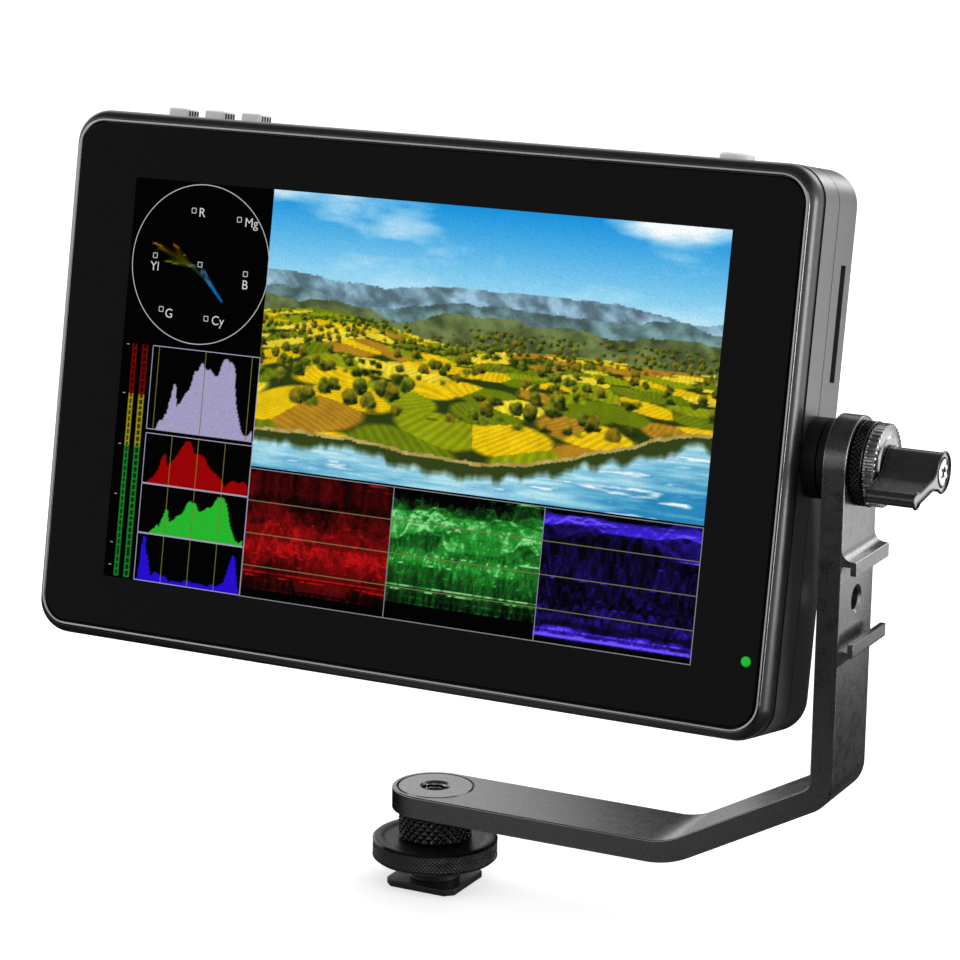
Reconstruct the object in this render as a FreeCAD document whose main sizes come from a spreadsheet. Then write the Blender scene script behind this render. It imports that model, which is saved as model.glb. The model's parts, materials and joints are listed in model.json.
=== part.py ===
import FreeCAD, Part
import math
import os
import re
import Sketcher

# Camera field monitor on a tilt arm with a camera-shoe foot.
# Row frame: origin under the centre of the shoe foot, +Z up, the screen faces -Y and the arm
# stands on the +X side. The monitor's own pieces are drawn in the monitor's frame (X across,
# Y into the depth, Z up, origin on the tilt axis) and then leaned back by the screen tilt.

# Driving dimensions in millimetres and degrees.
DIMENSIONS = {
    # Whole object and clearances
    "screen_offset": 2.4,
    "screen_clearance": 27.6,
    "screen_tilt": 10.0,
    "running_fit": 0.06,
    "seat_gap": 0.1,
    "face_gap": 0.2,
    "overrun": 1.0,
    # Shoe foot and its quarter-inch stud
    "foot_side": 18.0,
    "foot_thickness": 1.6,
    "foot_corner": 1.9,
    "neck_radius": 5.85,
    "neck_height": 2.2,
    "stud_radius": 3.175,
    "stud_sink": 1.4,
    "stud_chamfer": 0.5,
    # Shoe lock wheel and its pad
    "wheel_level": 6.2,
    "wheel_height": 5.0,
    "wheel_radius": 14.8,
    "wheel_edge": 0.5,
    "wheel_dish_radius": 11.8,
    "wheel_dish": 0.3,
    "neck_play": 0.4,
    "neck_pocket": 1.8,
    "pad_inner_radius": 6.7,
    "pad_outer_radius": 10.0,
    "pad_thickness": 1.0,
    "pad_proud": 0.2,
    "pad_play": 0.3,
    # Arm lock nut
    "nut_radius": 8.75,
    "nut_edge": 0.5,
    # Tilt arm
    "arm_width": 20.5,
    "arm_thickness": 5.3,
    "arm_slope": 28.3,
    "arm_slope_run": 34.3,
    "arm_low_bend": 17.0,
    "arm_high_bend": 2.7,
    "arm_edge": 0.35,
    "bar_height": 18.2,
    "insert_radius": 9.1,
    "insert_chamfer": 0.3,
    # Accessory shoe on the arm's outer face
    "shoe_drop": 30.2,
    "shoe_width": 18.8,
    "shoe_lip_gap": 15.2,
    "shoe_depth": 2.1,
    "shoe_lip": 1.3,
    "shoe_wall": 1.3,
    "shoe_root": 2.4,
    "shoe_edge": 0.5,
    "thread_bore_radius": 2.6,
    "thread_chamfer": 0.6,
    # Friction washer and flange between arm and monitor
    "washer_radius": 8.85,
    "washer_thickness": 2.0,
    "pivot_flange_thickness": 3.5,
    # Clamp screw, collar, lever and cap screw
    "clamp_radius": 3.175,
    "clamp_grip": 6.5,
    "collar_radius": 9.3,
    "collar_length": 3.0,
    "collar_edge": 0.5,
    "head_radius": 9.1,
    "head_length": 2.7,
    "head_bevel": 0.6,
    "rib_depth": 0.7,
    "rib_gap": 1.0,
    "boss_radius": 6.2,
    "boss_length": 0.3,
    "spindle_radius": 2.0,
    "spindle_length": 9.9,
    "lever_radius": 4.65,
    "lever_length": 12.2,
    "lever_floor": 4.8,
    "lever_reach": 14.6,
    "lever_blade": 2.8,
    "lever_blade_length": 11.2,
    "lever_ridge": 1.95,
    "lever_root": 5.0,
    "lever_lip": 1.0,
    "lever_angle": 13.5,
    "cap_radius": 3.1,
    "cap_length": 2.4,
    "cap_edge": 0.35,
    "cap_shank_radius": 1.2,
    "cap_shank_length": 4.0,
    "cap_hex_radius": 1.5,
    "cap_hex_depth": 1.4,
    "cap_play": 0.25,
    "spring_wall": 0.6,
    "spring_play": 0.15,
    "spring_closed": 1.7,
    # Monitor housing
    "rim_side": 2.5,
    "rim_end": 3.0,
    "body_corner": 8.0,
    "front_depth": 14.0,
    "bezel_depth": 5.7,
    "part_line": 0.2,
    "rear_depth": 13.5,
    "rear_round": 2.5,
    "wall": 2.2,
    "bezel_bevel": 0.7,
    "bezel_bevel_depth": 2.4,
    "bezel_side_round": 5.5,
    "bezel_front_round": 0.4,
    "glass_side_lap": 7.2,
    "glass_end_lap": 4.3,
    "glass_corner": 5.9,
    "glass_thickness": 1.1,
    "glass_gap": 0.2,
    "ledge_corner": 3.0,
    "flange_side_lap": 1.5,
    "flange_end_lap": 1.0,
    "flange_thickness": 1.5,
    "post_inset": 7.4,
    "post_radius": 3.4,
    "screw_radius": 1.5,
    "screw_head_radius": 2.7,
    "screw_head_length": 1.6,
    "screw_recess": 0.3,
    "screw_length": 14.8,
    # Display stack
    "panel_width": 163.0,
    "panel_height": 104.0,
    "panel_side_play": 2.5,
    "panel_end_play": 3.0,
    "panel_thickness": 2.5,
    "backlight_thickness": 3.0,
    "plate_side_lap": 4.5,
    "plate_end_lap": 3.0,
    "plate_thickness": 1.5,
    "led_radius": 1.3,
    "led_side_inset": 3.1,
    "led_foot_inset": 14.8,
    # Main board and what it carries
    "board_side_margin": 9.3,
    "board_end_margin": 12.2,
    "board_thickness": 1.6,
    "board_front": 3.0,
    "board_boss_radius": 3.0,
    "boss_side_inset": 14.0,
    "boss_end_inset": 3.5,
    "chip_side": 20.0,
    "chip_height": 1.2,
    "chip_across": 30.0,
    "card_length": 25.6,
    "card_slot": 3.0,
    "card_drop": 46.2,
    "card_depth_level": 6.5,
    "card_border": 1.4,
    "card_socket_depth": 29.0,
    "card_socket_height": 3.7,
    # Sockets on the left side
    "video_width": 15.0,
    "video_height": 5.6,
    "video_depth": 11.0,
    "video_shell": 0.5,
    "video_bevel": 1.6,
    "video_tongue_width": 10.0,
    "video_tongue": 1.2,
    "video_top_margin": 11.7,
    "video_pitch": 20.0,
    "socket_sink": 0.4,
    "jack_width": 9.0,
    "jack_height": 6.4,
    "jack_depth": 10.0,
    "jack_nose_radius": 3.1,
    "power_jack_drop": 18.0,
    "power_jack_bore": 2.6,
    "power_jack_pin": 0.7,
    "audio_jack_drop": 34.0,
    "audio_jack_bore": 1.8,
    "jack_bore_depth": 8.0,
    # Threaded inserts in the housing
    "nut_insert_radius": 5.5,
    "nut_insert_length": 8.0,
    "nut_insert_depth": 6.5,
    # Keys on the top
    "key_width": 5.4,
    "key_depth": 6.0,
    "key_proud": 2.3,
    "key_round": 0.6,
    "key_play": 0.2,
    "key_flange": 0.7,
    "key_flange_height": 0.8,
    "key_side_inset": 17.1,
    "key_pitch": 10.05,
    "key_depth_level": 6.5,
    "key_stem": 1.0,
    "power_key_inset": 27.2,
    "power_key_radius": 3.9,
    "power_key_proud": 1.8,
    "power_key_dome": 0.9,
    "key_board_margin": 13.3,
    "key_board_depth": 7.8,
    "key_board_thickness": 1.2,
    "key_board_drop": 8.2,
    "key_shelf_depth": 3.0,
    "key_shelf": 1.2,
    "switch_side": 5.0,
    "switch_height": 2.0,
    # Battery plate on the back
    "battery_width": 64.0,
    "battery_height": 80.0,
    "battery_depth": 4.0,
    "battery_floor": 1.8,
    "battery_rim": 2.0,
    "battery_base": 1.6,
    "channel_width": 40.8,
    "channel_lip_gap": 38.4,
    "channel_lip": 1.2,
    "contact_width": 36.0,
    "contact_height": 7.0,
    "contact_proud": 2.2,
    "blade_thickness": 0.8,
    "blade_width": 1.4,
    "blade_length": 5.0,
    "blade_pitch": 9.0,
    "blade_rise": 0.4,
    "latch_width": 10.0,
    "latch_height": 4.0,
    "latch_proud": 1.8,
    "latch_play": 0.2,
    "latch_flange": 1.0,
    "latch_flange_thickness": 0.9,
    "latch_bevel": 1.2,
    "latch_inset": 10.0,
    # Fan and vents
    "fan_inner_margin": 4.0,
    "fan_outer_margin": 13.5,
    "fan_front": 5.2,
    "fan_wall": 1.4,
    "fan_corner": 3.0,
    "fan_hub_step": 0.5,
    "fan_plate": 1.0,
    "fan_spoke": 2.6,
    "rotor_share": 0.51,
    "rotor_gap": 0.4,
    "rotor_length": 4.0,
    "rotor_shaft": 1.0,
    "blade_tip_gap": 0.6,
    "blade_sweep": 3.2,
    "blade_web": 0.9,
    "blade_bite": 0.6,
    "vent_margin": 3.0,
    "vent_slot": 2.4,
    "vent_pitch": 5.0,
}

# Sizes that follow from the driving ones.
DERIVED = {
    "ledge_width": "panel_width + 2 * panel_side_play",
    "ledge_height": "panel_height + 2 * panel_end_play",
    "glass_width": "ledge_width + 2 * glass_side_lap",
    "glass_height": "ledge_height + 2 * glass_end_lap",
    "body_width": "glass_width + 2 * rim_side",
    "body_height": "glass_height + 2 * rim_end",
    "flange_width": "panel_width - 2 * flange_side_lap",
    "flange_height": "panel_height - 2 * flange_end_lap",
    "plate_width": "panel_width + 2 * plate_side_lap",
    "plate_height": "panel_height + 2 * plate_end_lap",
    "led_across": "glass_width/2 - led_side_inset",
    "led_drop": "glass_height/2 - led_foot_inset",
    "board_width": "body_width - 2 * board_side_margin",
    "board_height": "body_height - 2 * board_end_margin",
    "board_boss_across": "board_width/2 - boss_side_inset",
    "board_boss_rise": "board_height/2 - boss_end_inset",
    "key_first": "key_side_inset - body_width/2",
    "power_key_across": "body_width/2 - power_key_inset",
    "key_board_length": "body_width - 2 * key_board_margin",
    "card_low": "body_height/2 - card_drop",
    "video_rise": "(nut_insert_radius + body_height/2 - video_top_margin - video_pitch)/2",
    "latch_rise": "battery_height/2 - latch_inset",
    "fan_room": "body_width/2 - wall - battery_width/2 - battery_rim",
    "fan_side": "fan_room - fan_inner_margin - fan_outer_margin",
    "fan_across": "wall + fan_outer_margin + fan_side/2 - body_width/2",
    "fan_bore": "fan_side/2 - fan_wall",
    "rotor_radius": "fan_bore * rotor_share",
    "fan_hub_radius": "rotor_radius - fan_hub_step",
    "blade_tip": "fan_bore - blade_tip_gap",
    "vent_length": "fan_side - 2 * vent_margin",
    "arm_reach": "body_width/2 - screen_offset + pivot_flange_thickness + face_gap + washer_thickness",
    "arm_bend_start": "arm_reach - arm_slope_run",
    "pivot_height": "bar_height + arm_thickness + screen_clearance + body_height/2",
    "shoe_level": "pivot_height - shoe_drop",
}

# Counts of what repeats.
RIB_COUNT = 26
BLADE_COUNT = 7
SPOKE_COUNT = 3
VENT_COUNT = 7
HEX_SIDES = 6
CORNERS = ((-1, -1), (1, -1), (1, 1), (-1, 1))
KEY_NAMES = ("key_left", "key_middle", "key_right")
CONTACT_BLADES = (-1, 0, 1)

# Two lengths closer than this share of the body's width are the same edge.
SAME_EDGE_SHARE = 1e-6

doc = FreeCAD.newDocument("field_monitor")
sheet = doc.addObject("Spreadsheet::Sheet", "dims")
cells = {alias: str(value) for alias, value in DIMENSIONS.items()}
cells.update({alias: "=" + formula for alias, formula in DERIVED.items()})
for row, (alias, content) in enumerate(cells.items(), 1):
    sheet.set(f"A{row}", alias)
    sheet.set(f"B{row}", content)
    sheet.setAlias(f"B{row}", alias)
doc.recompute()

ALIAS = re.compile(r"\b(" + "|".join(sorted(cells, key=len, reverse=True)) + r")\b")
SEATS = {
    "row": ("0", "0", "0", "0"),
    "pivot": ("0", "0", "pivot_height", "0"),
    "lever": ("0", "0", "pivot_height", "lever_angle"),
    "monitor": ("-screen_offset", "0", "pivot_height", "-screen_tilt"),
    "fan": ("-screen_offset + fan_across", "0", "pivot_height", "-screen_tilt"),
}
subparts = []


def bound(formula):
    """Write a formula in the sheet's aliases the way an expression needs it."""
    return ALIAS.sub(lambda hit: "dims." + hit.group(0), formula)


def number(alias):
    """Read one driving dimension as a plain number."""
    return float(getattr(sheet, alias))


def same(first, second):
    """Tell whether two lengths are equal for the choice of an edge."""
    return abs(first - second) < number("body_width") * SAME_EDGE_SHARE


def seat(item, place):
    """Bind an object's placement: a base point and a turn about the X axis."""
    across, depth, height, turn = SEATS[place]
    base = f"create(<<vector>>; {bound(across)}; {bound(depth)}; {bound(height)})"
    spin = f"create(<<rotation>>; create(<<vector>>; 1; 0; 0); {bound(turn)})"
    item.setExpression("Placement", f"create(<<placement>>; {base}; {spin})")


def piece(label, place):
    """Start a sub-part as an empty body in its seat."""
    body = doc.addObject("PartDesign::Body", label)
    body.Label = label
    seat(body, place)
    subparts.append(body)
    return body


def polygon(*points):
    """Closed outline through points, each a pair of formulas."""
    return ("polygon", points)


def box(low, high, bottom, top):
    """Rectangular outline between two formulas across and two up."""
    return polygon((low, bottom), (high, bottom), (high, top), (low, top))


def centred(width, height):
    """Rectangular outline of this width and height about the origin."""
    return box(f"-({width})/2", f"({width})/2", f"-({height})/2", f"({height})/2")


def rounded(width, height, corner):
    """Rectangular outline about the origin with round corners."""
    return ("rounded", width, height, corner)


def disc(radius, across="0", up="0"):
    """Round outline."""
    return ("disc", radius, across, up)


def fix(sketch, kind, geometry, point, formula, drawn=1.0):
    """Hold one coordinate of a sketch point at a formula, starting from where it was drawn."""
    index = sketch.addConstraint(Sketcher.Constraint(kind, -1, 1, geometry, point, drawn))
    sketch.setExpression(f"Constraints[{index}]", bound(formula))


def draw_polygon(sketch, points):
    """Add a closed chain of lines whose corners follow their formulas."""
    first = sketch.GeometryCount
    count = len(points)
    turns = [2 * math.pi * index / count for index in range(count)]
    ring = [FreeCAD.Vector(math.cos(turn), math.sin(turn), 0) for turn in turns]
    ends = ring[1:] + ring[:1]
    sketch.addGeometry([Part.LineSegment(start, end) for start, end in zip(ring, ends)], False)
    for index in range(count):
        following = first + (index + 1) % count
        sketch.addConstraint(Sketcher.Constraint("Coincident", first + index, 2, following, 1))
    for index, (across, up) in enumerate(points):
        fix(sketch, "DistanceX", first + index, 1, across)
        fix(sketch, "DistanceY", first + index, 1, up)


def draw_rounded(sketch, width, height, corner):
    """Add four lines joined by quarter circles; they start at the housing's own outline."""
    first = sketch.GeometryCount
    half = number("body_width") / 2
    rise = number("body_height") / 2
    bend = number("body_corner")
    starts = ((bend - half, -rise), (half, bend - rise), (half - bend, rise), (-half, rise - bend))
    ends = ((half - bend, -rise), (half, rise - bend), (bend - half, rise), (-half, bend - rise))
    for index, (x, y) in enumerate(((1, -1), (1, 1), (-1, 1), (-1, -1))):
        start = FreeCAD.Vector(*starts[index], 0)
        end = FreeCAD.Vector(*ends[index], 0)
        middle = FreeCAD.Vector(x * (half - bend), y * (rise - bend), 0)
        circle = Part.Circle(middle, FreeCAD.Vector(0, 0, 1), bend)
        turned = math.pi / 2 * (index - 1)
        arc = Part.ArcOfCircle(circle, turned, turned + math.pi / 2)
        sketch.addGeometry([Part.LineSegment(start, end), arc], False)
    wide = f"({width})/2"
    tall = f"({height})/2"
    inner_wide = f"({wide} - ({corner}))"
    inner_tall = f"({tall} - ({corner}))"
    begin = (
        (f"-{inner_wide}", f"-{tall}"),
        (wide, f"-{inner_tall}"),
        (inner_wide, tall),
        (f"-{wide}", inner_tall),
    )
    finish = (
        (inner_wide, f"-{tall}"),
        (wide, inner_tall),
        (f"-{inner_wide}", tall),
        (f"-{wide}", f"-{inner_tall}"),
    )
    for index in range(4):
        line = first + 2 * index
        arc = line + 1
        following = first + (2 * index + 2) % 8
        sketch.addConstraint(Sketcher.Constraint("Coincident", line, 2, arc, 1))
        sketch.addConstraint(Sketcher.Constraint("Coincident", arc, 2, following, 1))
        size = sketch.addConstraint(Sketcher.Constraint("Radius", arc, bend))
        sketch.setExpression(f"Constraints[{size}]", bound(corner))
        for point, (across, up), drawn in ((1, begin[index], starts[index]), (2, finish[index], ends[index])):
            fix(sketch, "DistanceX", line, point, across, drawn[0])
            fix(sketch, "DistanceY", line, point, up, drawn[1])


def draw_disc(sketch, radius, across, up):
    """Add a circle whose radius and centre follow their formulas."""
    index = sketch.addGeometry(Part.Circle(), False)
    size = sketch.addConstraint(Sketcher.Constraint("Radius", index, 1.0))
    sketch.setExpression(f"Constraints[{size}]", bound(radius))
    fix(sketch, "DistanceX", index, 3, across)
    fix(sketch, "DistanceY", index, 3, up)


def outline(body, plane, level, *loops):
    """Sketch loops on one of the body's planes, moved along its row axis to a level."""
    sketch = body.newObject("Sketcher::SketchObject", body.Label + "_outline")
    base = next(item for item in body.Origin.OriginFeatures if item.Role == plane + "_Plane")
    sketch.AttachmentSupport = [(base, "")]
    sketch.MapMode = "FlatFace"
    sign = "-" if plane == "XZ" else ""
    sketch.setExpression("AttachmentOffset.Base.z", bound(f"{sign}({level})"))
    pens = {"polygon": draw_polygon, "rounded": draw_rounded, "disc": draw_disc}
    for kind, *values in loops:
        pens[kind](sketch, *values)
    return sketch


def extrude(body, plane, level, length, *loops, both_ways=False):
    """Pad loops: up from XY, towards +X from YZ, towards the front (-Y) from XZ."""
    sketch = outline(body, plane, level, *loops)
    pad = body.newObject("PartDesign::Pad", body.Label + "_pad")
    pad.Profile = sketch
    pad.setExpression("Length", bound(length))
    if both_ways:
        pad.Midplane = True
    doc.recompute()
    return pad


def cut(body, plane, level, depth, *loops):
    """Pocket loops: down from XY, towards -X from YZ, towards the back (+Y) from XZ."""
    before = body.Tip.Shape.Volume
    sketch = outline(body, plane, level, *loops)
    pocket = body.newObject("PartDesign::Pocket", body.Label + "_pocket")
    pocket.Profile = sketch
    pocket.setExpression("Length", bound(depth))
    doc.recompute()
    if pocket.Shape.Volume >= before:
        raise RuntimeError(f"{body.Label}: a cut takes nothing away")
    return pocket


def turn(body, axis, *points):
    """Revolve a profile drawn in the XZ plane about its H_Axis (X) or V_Axis (Z)."""
    sketch = outline(body, "XZ", "0", polygon(*points))
    revolution = body.newObject("PartDesign::Revolution", body.Label + "_turn")
    revolution.Profile = sketch
    revolution.ReferenceAxis = (sketch, [axis])
    revolution.Angle = 360
    doc.recompute()
    return revolution


def repeat_round(body, feature, axis, count):
    """Repeat a feature evenly about one of the body's own axes."""
    pattern = body.newObject("PartDesign::PolarPattern", body.Label + "_ring")
    pattern.Originals = [feature]
    line = next(item for item in body.Origin.OriginFeatures if item.Role == axis + "_Axis")
    pattern.Axis = (line, [""])
    pattern.Angle = 360
    pattern.Occurrences = count
    body.Tip = pattern
    doc.recompute()
    return pattern


def repeat_line(body, feature, direction, length, count):
    """Repeat a feature along an axis of its own sketch."""
    pattern = body.newObject("PartDesign::LinearPattern", body.Label + "_row")
    pattern.Originals = [feature]
    pattern.Direction = (feature.Profile[0], [direction])
    pattern.setExpression("Length", bound(length))
    pattern.Occurrences = count
    body.Tip = pattern
    doc.recompute()
    return pattern


def edges(body, test):
    """Names of the edges of a body, as it stands, that pass a test."""
    shape = body.Tip.Shape
    return [f"Edge{index}" for index, edge in enumerate(shape.Edges, 1) if test(edge)]


def runs_along(edge, axis):
    """Tell whether an edge is a straight line along one axis."""
    if not isinstance(edge.Curve, Part.Line):
        return False
    return abs(abs(getattr(edge.Curve.Direction, axis)) - 1) < SAME_EDGE_SHARE


def corner_edges(body, axis, half_first, half_second):
    """Edges along an axis at the four corners of a rectangle about the origin."""
    first, second = [name for name in "xyz" if name != axis]

    def at_corner(edge):
        if not runs_along(edge, axis):
            return False
        middle = edge.CenterOfMass
        across = same(abs(getattr(middle, first)), half_first)
        return across and same(abs(getattr(middle, second)), half_second)

    return edges(body, at_corner)


def line_edges(body, axis, first_value, second_value):
    """Edges along an axis through one point of the plane across it."""
    first, second = [name for name in "xyz" if name != axis]

    def on_line(edge):
        if not runs_along(edge, axis):
            return False
        middle = edge.CenterOfMass
        return same(getattr(middle, first), first_value) and same(getattr(middle, second), second_value)

    return edges(body, on_line)


def level_edges(body, axis, value, test=None):
    """Edges that lie in a plane across an axis, and pass a further test."""
    low = axis.upper() + "Min"
    high = axis.upper() + "Max"

    def in_plane(edge):
        bounds = edge.BoundBox
        flat = same(getattr(bounds, low), value) and same(getattr(bounds, high), value)
        return flat and (test is None or test(edge))

    return edges(body, in_plane)


def round_edges(body, radius, names):
    """Fillet the named edges."""
    before = body.Tip
    fillet = body.newObject("PartDesign::Fillet", body.Label + "_round")
    fillet.Base = (before, names)
    fillet.setExpression("Radius", bound(radius))
    doc.recompute()
    return fillet


def bevel_edges(body, size, names, second=None):
    """Chamfer the named edges, with a second size down the far face where one is given."""
    before = body.Tip
    chamfer = body.newObject("PartDesign::Chamfer", body.Label + "_bevel")
    chamfer.Base = (before, names)
    chamfer.setExpression("Size", bound(size))
    if second:
        chamfer.ChamferType = "Two distances"
        chamfer.setExpression("Size2", bound(second))
    doc.recompute()
    return chamfer


def ring(label, place, axis, start, end, radius, bore, edge):
    """Plain turned ring along X (H_Axis) or Z (V_Axis) with bevelled outer edges."""
    body = piece(label, place)
    profile = [
        (start, bore),
        (start, f"{radius} - {edge}"),
        (f"{start} + {edge}", radius),
        (f"{end} - {edge}", radius),
        (end, f"{radius} - {edge}"),
        (end, bore),
    ]
    if axis == "V_Axis":
        profile = [(far, along) for along, far in profile]
    turn(body, axis, *profile)
    return body


# Formulas that several pieces share.
STUD_BORE = "(stud_radius + running_fit)"
CLAMP_BORE = "(clamp_radius + running_fit)"
WHEEL_TOP = "(wheel_level + wheel_height)"
BAR_TOP = "(bar_height + arm_thickness)"
ARM_OUTER = "(arm_reach + arm_thickness)"
SIDE = "(body_width/2)"
SIDE_ROW = "(body_width/2 - screen_offset)"
TOP = "(body_height/2)"
BEZEL_BACK = "(bezel_depth - front_depth)"
GLASS_BACK = "(glass_thickness - front_depth)"
PANEL_BACK = f"({GLASS_BACK} + panel_thickness)"
BACKLIGHT_BACK = f"({PANEL_BACK} + backlight_thickness)"
PLATE_BACK = f"({BACKLIGHT_BACK} + plate_thickness)"
BOARD_BACK = "(board_front + board_thickness)"
REAR_INNER = "(rear_depth - wall)"
RECESS_FLOOR = "(rear_depth - battery_depth)"
COLLAR_START = f"({ARM_OUTER} + face_gap)"
HEAD_START = f"({COLLAR_START} + collar_length)"
HEAD_END = f"({HEAD_START} + head_length)"
BOSS_END = f"({HEAD_END} + boss_length)"
LEVER_START = f"({BOSS_END} + face_gap)"
LEVER_END = f"({LEVER_START} + lever_length)"
SPINDLE_END = f"({BOSS_END} + spindle_length)"
KEY_SHELF_TOP = f"({TOP} - key_board_drop)"


def shoe_foot():
    """Square plate with cut corners, round neck and quarter-inch stud."""
    body = piece("shoe_foot", "row")
    extrude(body, "XY", "0", "foot_thickness", centred("foot_side", "foot_side"))
    half = number("foot_side") / 2
    bevel_edges(body, "foot_corner", corner_edges(body, "z", half, half))
    extrude(body, "XY", "foot_thickness", "neck_height", disc("neck_radius"))
    base = "(foot_thickness + neck_height)"
    extrude(body, "XY", base, f"{BAR_TOP} - stud_sink - {base}", disc("stud_radius"))
    top = number("bar_height") + number("arm_thickness") - number("stud_sink")
    bevel_edges(body, "stud_chamfer", level_edges(body, "z", top))


def shoe_pad():
    """Rubber ring let into the underside of the lock wheel."""
    body = piece("shoe_pad", "row")
    loops = (disc("pad_outer_radius"), disc("pad_inner_radius"))
    extrude(body, "XY", "wheel_level - pad_proud", "pad_thickness", *loops)


def lock_wheel():
    """Wide wheel that screws down on the stud, hollowed for the neck and the pad."""
    body = piece("lock_wheel", "row")
    pad_seat = "wheel_level + pad_thickness - pad_proud"
    turn(
        body,
        "V_Axis",
        (STUD_BORE, "wheel_level + neck_pocket"),
        ("neck_radius + neck_play", "wheel_level + neck_pocket"),
        ("neck_radius + neck_play", pad_seat),
        ("pad_outer_radius + pad_play", pad_seat),
        ("pad_outer_radius + pad_play", "wheel_level"),
        ("wheel_radius - wheel_edge", "wheel_level"),
        ("wheel_radius", "wheel_level + wheel_edge"),
        ("wheel_radius", f"{WHEEL_TOP} - wheel_edge"),
        ("wheel_radius - wheel_edge", WHEEL_TOP),
        ("wheel_dish_radius", WHEEL_TOP),
        ("wheel_dish_radius - wheel_dish", f"{WHEEL_TOP} - wheel_dish"),
        (STUD_BORE, f"{WHEEL_TOP} - wheel_dish"),
    )


def arm_nut():
    """Knurled nut that holds the bar's end against its swivel."""
    start = f"({WHEEL_TOP} - wheel_dish + face_gap)"
    ring("arm_nut", "row", "V_Axis", start, "(bar_height - face_gap)", "nut_radius", STUD_BORE, "nut_edge")


def tilt_arm():
    """Flat bar with a sloping corner, round ends and an accessory shoe on its outer face."""
    body = piece("tilt_arm", "row")
    high_inner = f"({BAR_TOP} + (arm_reach - arm_bend_start) * tan(arm_slope))"
    low_outer = "(arm_bend_start + arm_thickness * tan(arm_slope / 2))"
    high_outer = f"({high_inner} - arm_thickness * tan(45 - arm_slope / 2))"
    groove = f"({ARM_OUTER} + shoe_depth)"
    crest = f"({groove} + shoe_lip)"
    rails = []
    for side in "-+":
        wall = f"(shoe_level {side} shoe_width/2)"
        lip = f"(shoe_level {side} shoe_lip_gap/2)"
        outside = f"({wall} {side} shoe_wall)"
        corners = [(ARM_OUTER, outside), (crest, outside), (crest, lip), (groove, lip), (groove, wall),
                   (ARM_OUTER, wall)]
        rails.extend(corners if side == "-" else reversed(corners))
    profile = [("0", "bar_height"), (low_outer, "bar_height"), (ARM_OUTER, high_outer)]
    profile += rails
    profile += [(ARM_OUTER, "pivot_height"), ("arm_reach", "pivot_height"), ("arm_reach", high_inner),
                ("arm_bend_start", BAR_TOP), ("0", BAR_TOP)]
    extrude(body, "XZ", "0", "arm_width", polygon(*profile), both_ways=True)
    extrude(body, "YZ", "arm_reach", "arm_thickness", disc("arm_width/2", "0", "pivot_height"))
    extrude(body, "XY", "bar_height", "arm_thickness", disc("arm_width/2"))
    soften_arm(body)
    break_arm_edges(body)
    pivot = disc(CLAMP_BORE, "0", "pivot_height")
    cut(body, "YZ", f"{ARM_OUTER} + overrun", "arm_thickness + 2 * overrun", pivot)
    thread = disc("thread_bore_radius", "0", "shoe_level")
    cut(body, "YZ", f"{ARM_OUTER} + overrun", "arm_thickness + 2 * overrun", thread)
    socket = disc("insert_radius + seat_gap")
    cut(body, "XY", f"{BAR_TOP} + overrun", "arm_thickness + 2 * overrun", socket)
    mouth = number("arm_reach") + number("arm_thickness")
    bore = number("thread_bore_radius")
    names = level_edges(body, "x", mouth, lambda edge: is_circle(edge, bore))
    bevel_edges(body, "thread_chamfer", names)


def is_circle(edge, radius):
    """Tell whether an edge is a circle of this radius."""
    return isinstance(edge.Curve, Part.Circle) and same(edge.Curve.Radius, radius)


def soften_arm(body):
    """Round the arm's two bends and the roots and crests of its shoe rails."""
    inner = number("arm_reach")
    outer = inner + number("arm_thickness")
    bar_top = number("bar_height") + number("arm_thickness")
    slope = math.radians(number("arm_slope"))
    start = number("arm_bend_start")
    high_inner = bar_top + (inner - start) * math.tan(slope)
    low_outer = start + number("arm_thickness") * math.tan(slope / 2)
    high_outer = high_inner - number("arm_thickness") * math.tan(math.pi / 4 - slope / 2)
    round_edges(body, "arm_low_bend", line_edges(body, "y", start, bar_top))
    outer_low = line_edges(body, "y", low_outer, number("bar_height"))
    round_edges(body, "arm_low_bend + arm_thickness", outer_low)
    round_edges(body, "arm_high_bend", line_edges(body, "y", inner, high_inner))
    round_edges(body, "arm_high_bend + arm_thickness", line_edges(body, "y", outer, high_outer))
    crest = outer + number("shoe_depth") + number("shoe_lip")
    half = number("shoe_width") / 2 + number("shoe_wall")
    for side in (-1, 1):
        root = number("shoe_level") + side * half
        round_edges(body, "shoe_root", line_edges(body, "y", outer, root))
        round_edges(body, "shoe_edge", line_edges(body, "y", crest, root))


def break_arm_edges(body):
    """Take the sharpness off the long outlines of the arm's two sides and its round ends."""
    half = number("arm_width") / 2

    def on_outline(edge):
        bounds = edge.BoundBox
        flat = same(bounds.YMin, bounds.YMax) and same(abs(bounds.YMax), half)
        return flat or is_circle(edge, half)

    bevel_edges(body, "arm_edge", edges(body, on_outline))


def arm_insert():
    """Threaded disc let into the end of the bar, with an open bevelled hole on top."""
    body = piece("arm_insert", "row")
    turn(
        body,
        "V_Axis",
        (STUD_BORE, "bar_height"),
        ("insert_radius", "bar_height"),
        ("insert_radius", BAR_TOP),
        (f"{STUD_BORE} + insert_chamfer", BAR_TOP),
        (STUD_BORE, f"{BAR_TOP} - insert_chamfer"),
    )


def friction_discs():
    """Rubber washer on the arm's inner face, and the flange on the monitor's side."""
    washer = piece("friction_washer", "pivot")
    loops = (disc("washer_radius"), disc(CLAMP_BORE))
    extrude(washer, "YZ", "arm_reach - washer_thickness", "washer_thickness", *loops)
    flange = piece("pivot_flange", "monitor")
    extrude(flange, "YZ", SIDE, "pivot_flange_thickness", *loops)


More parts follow.
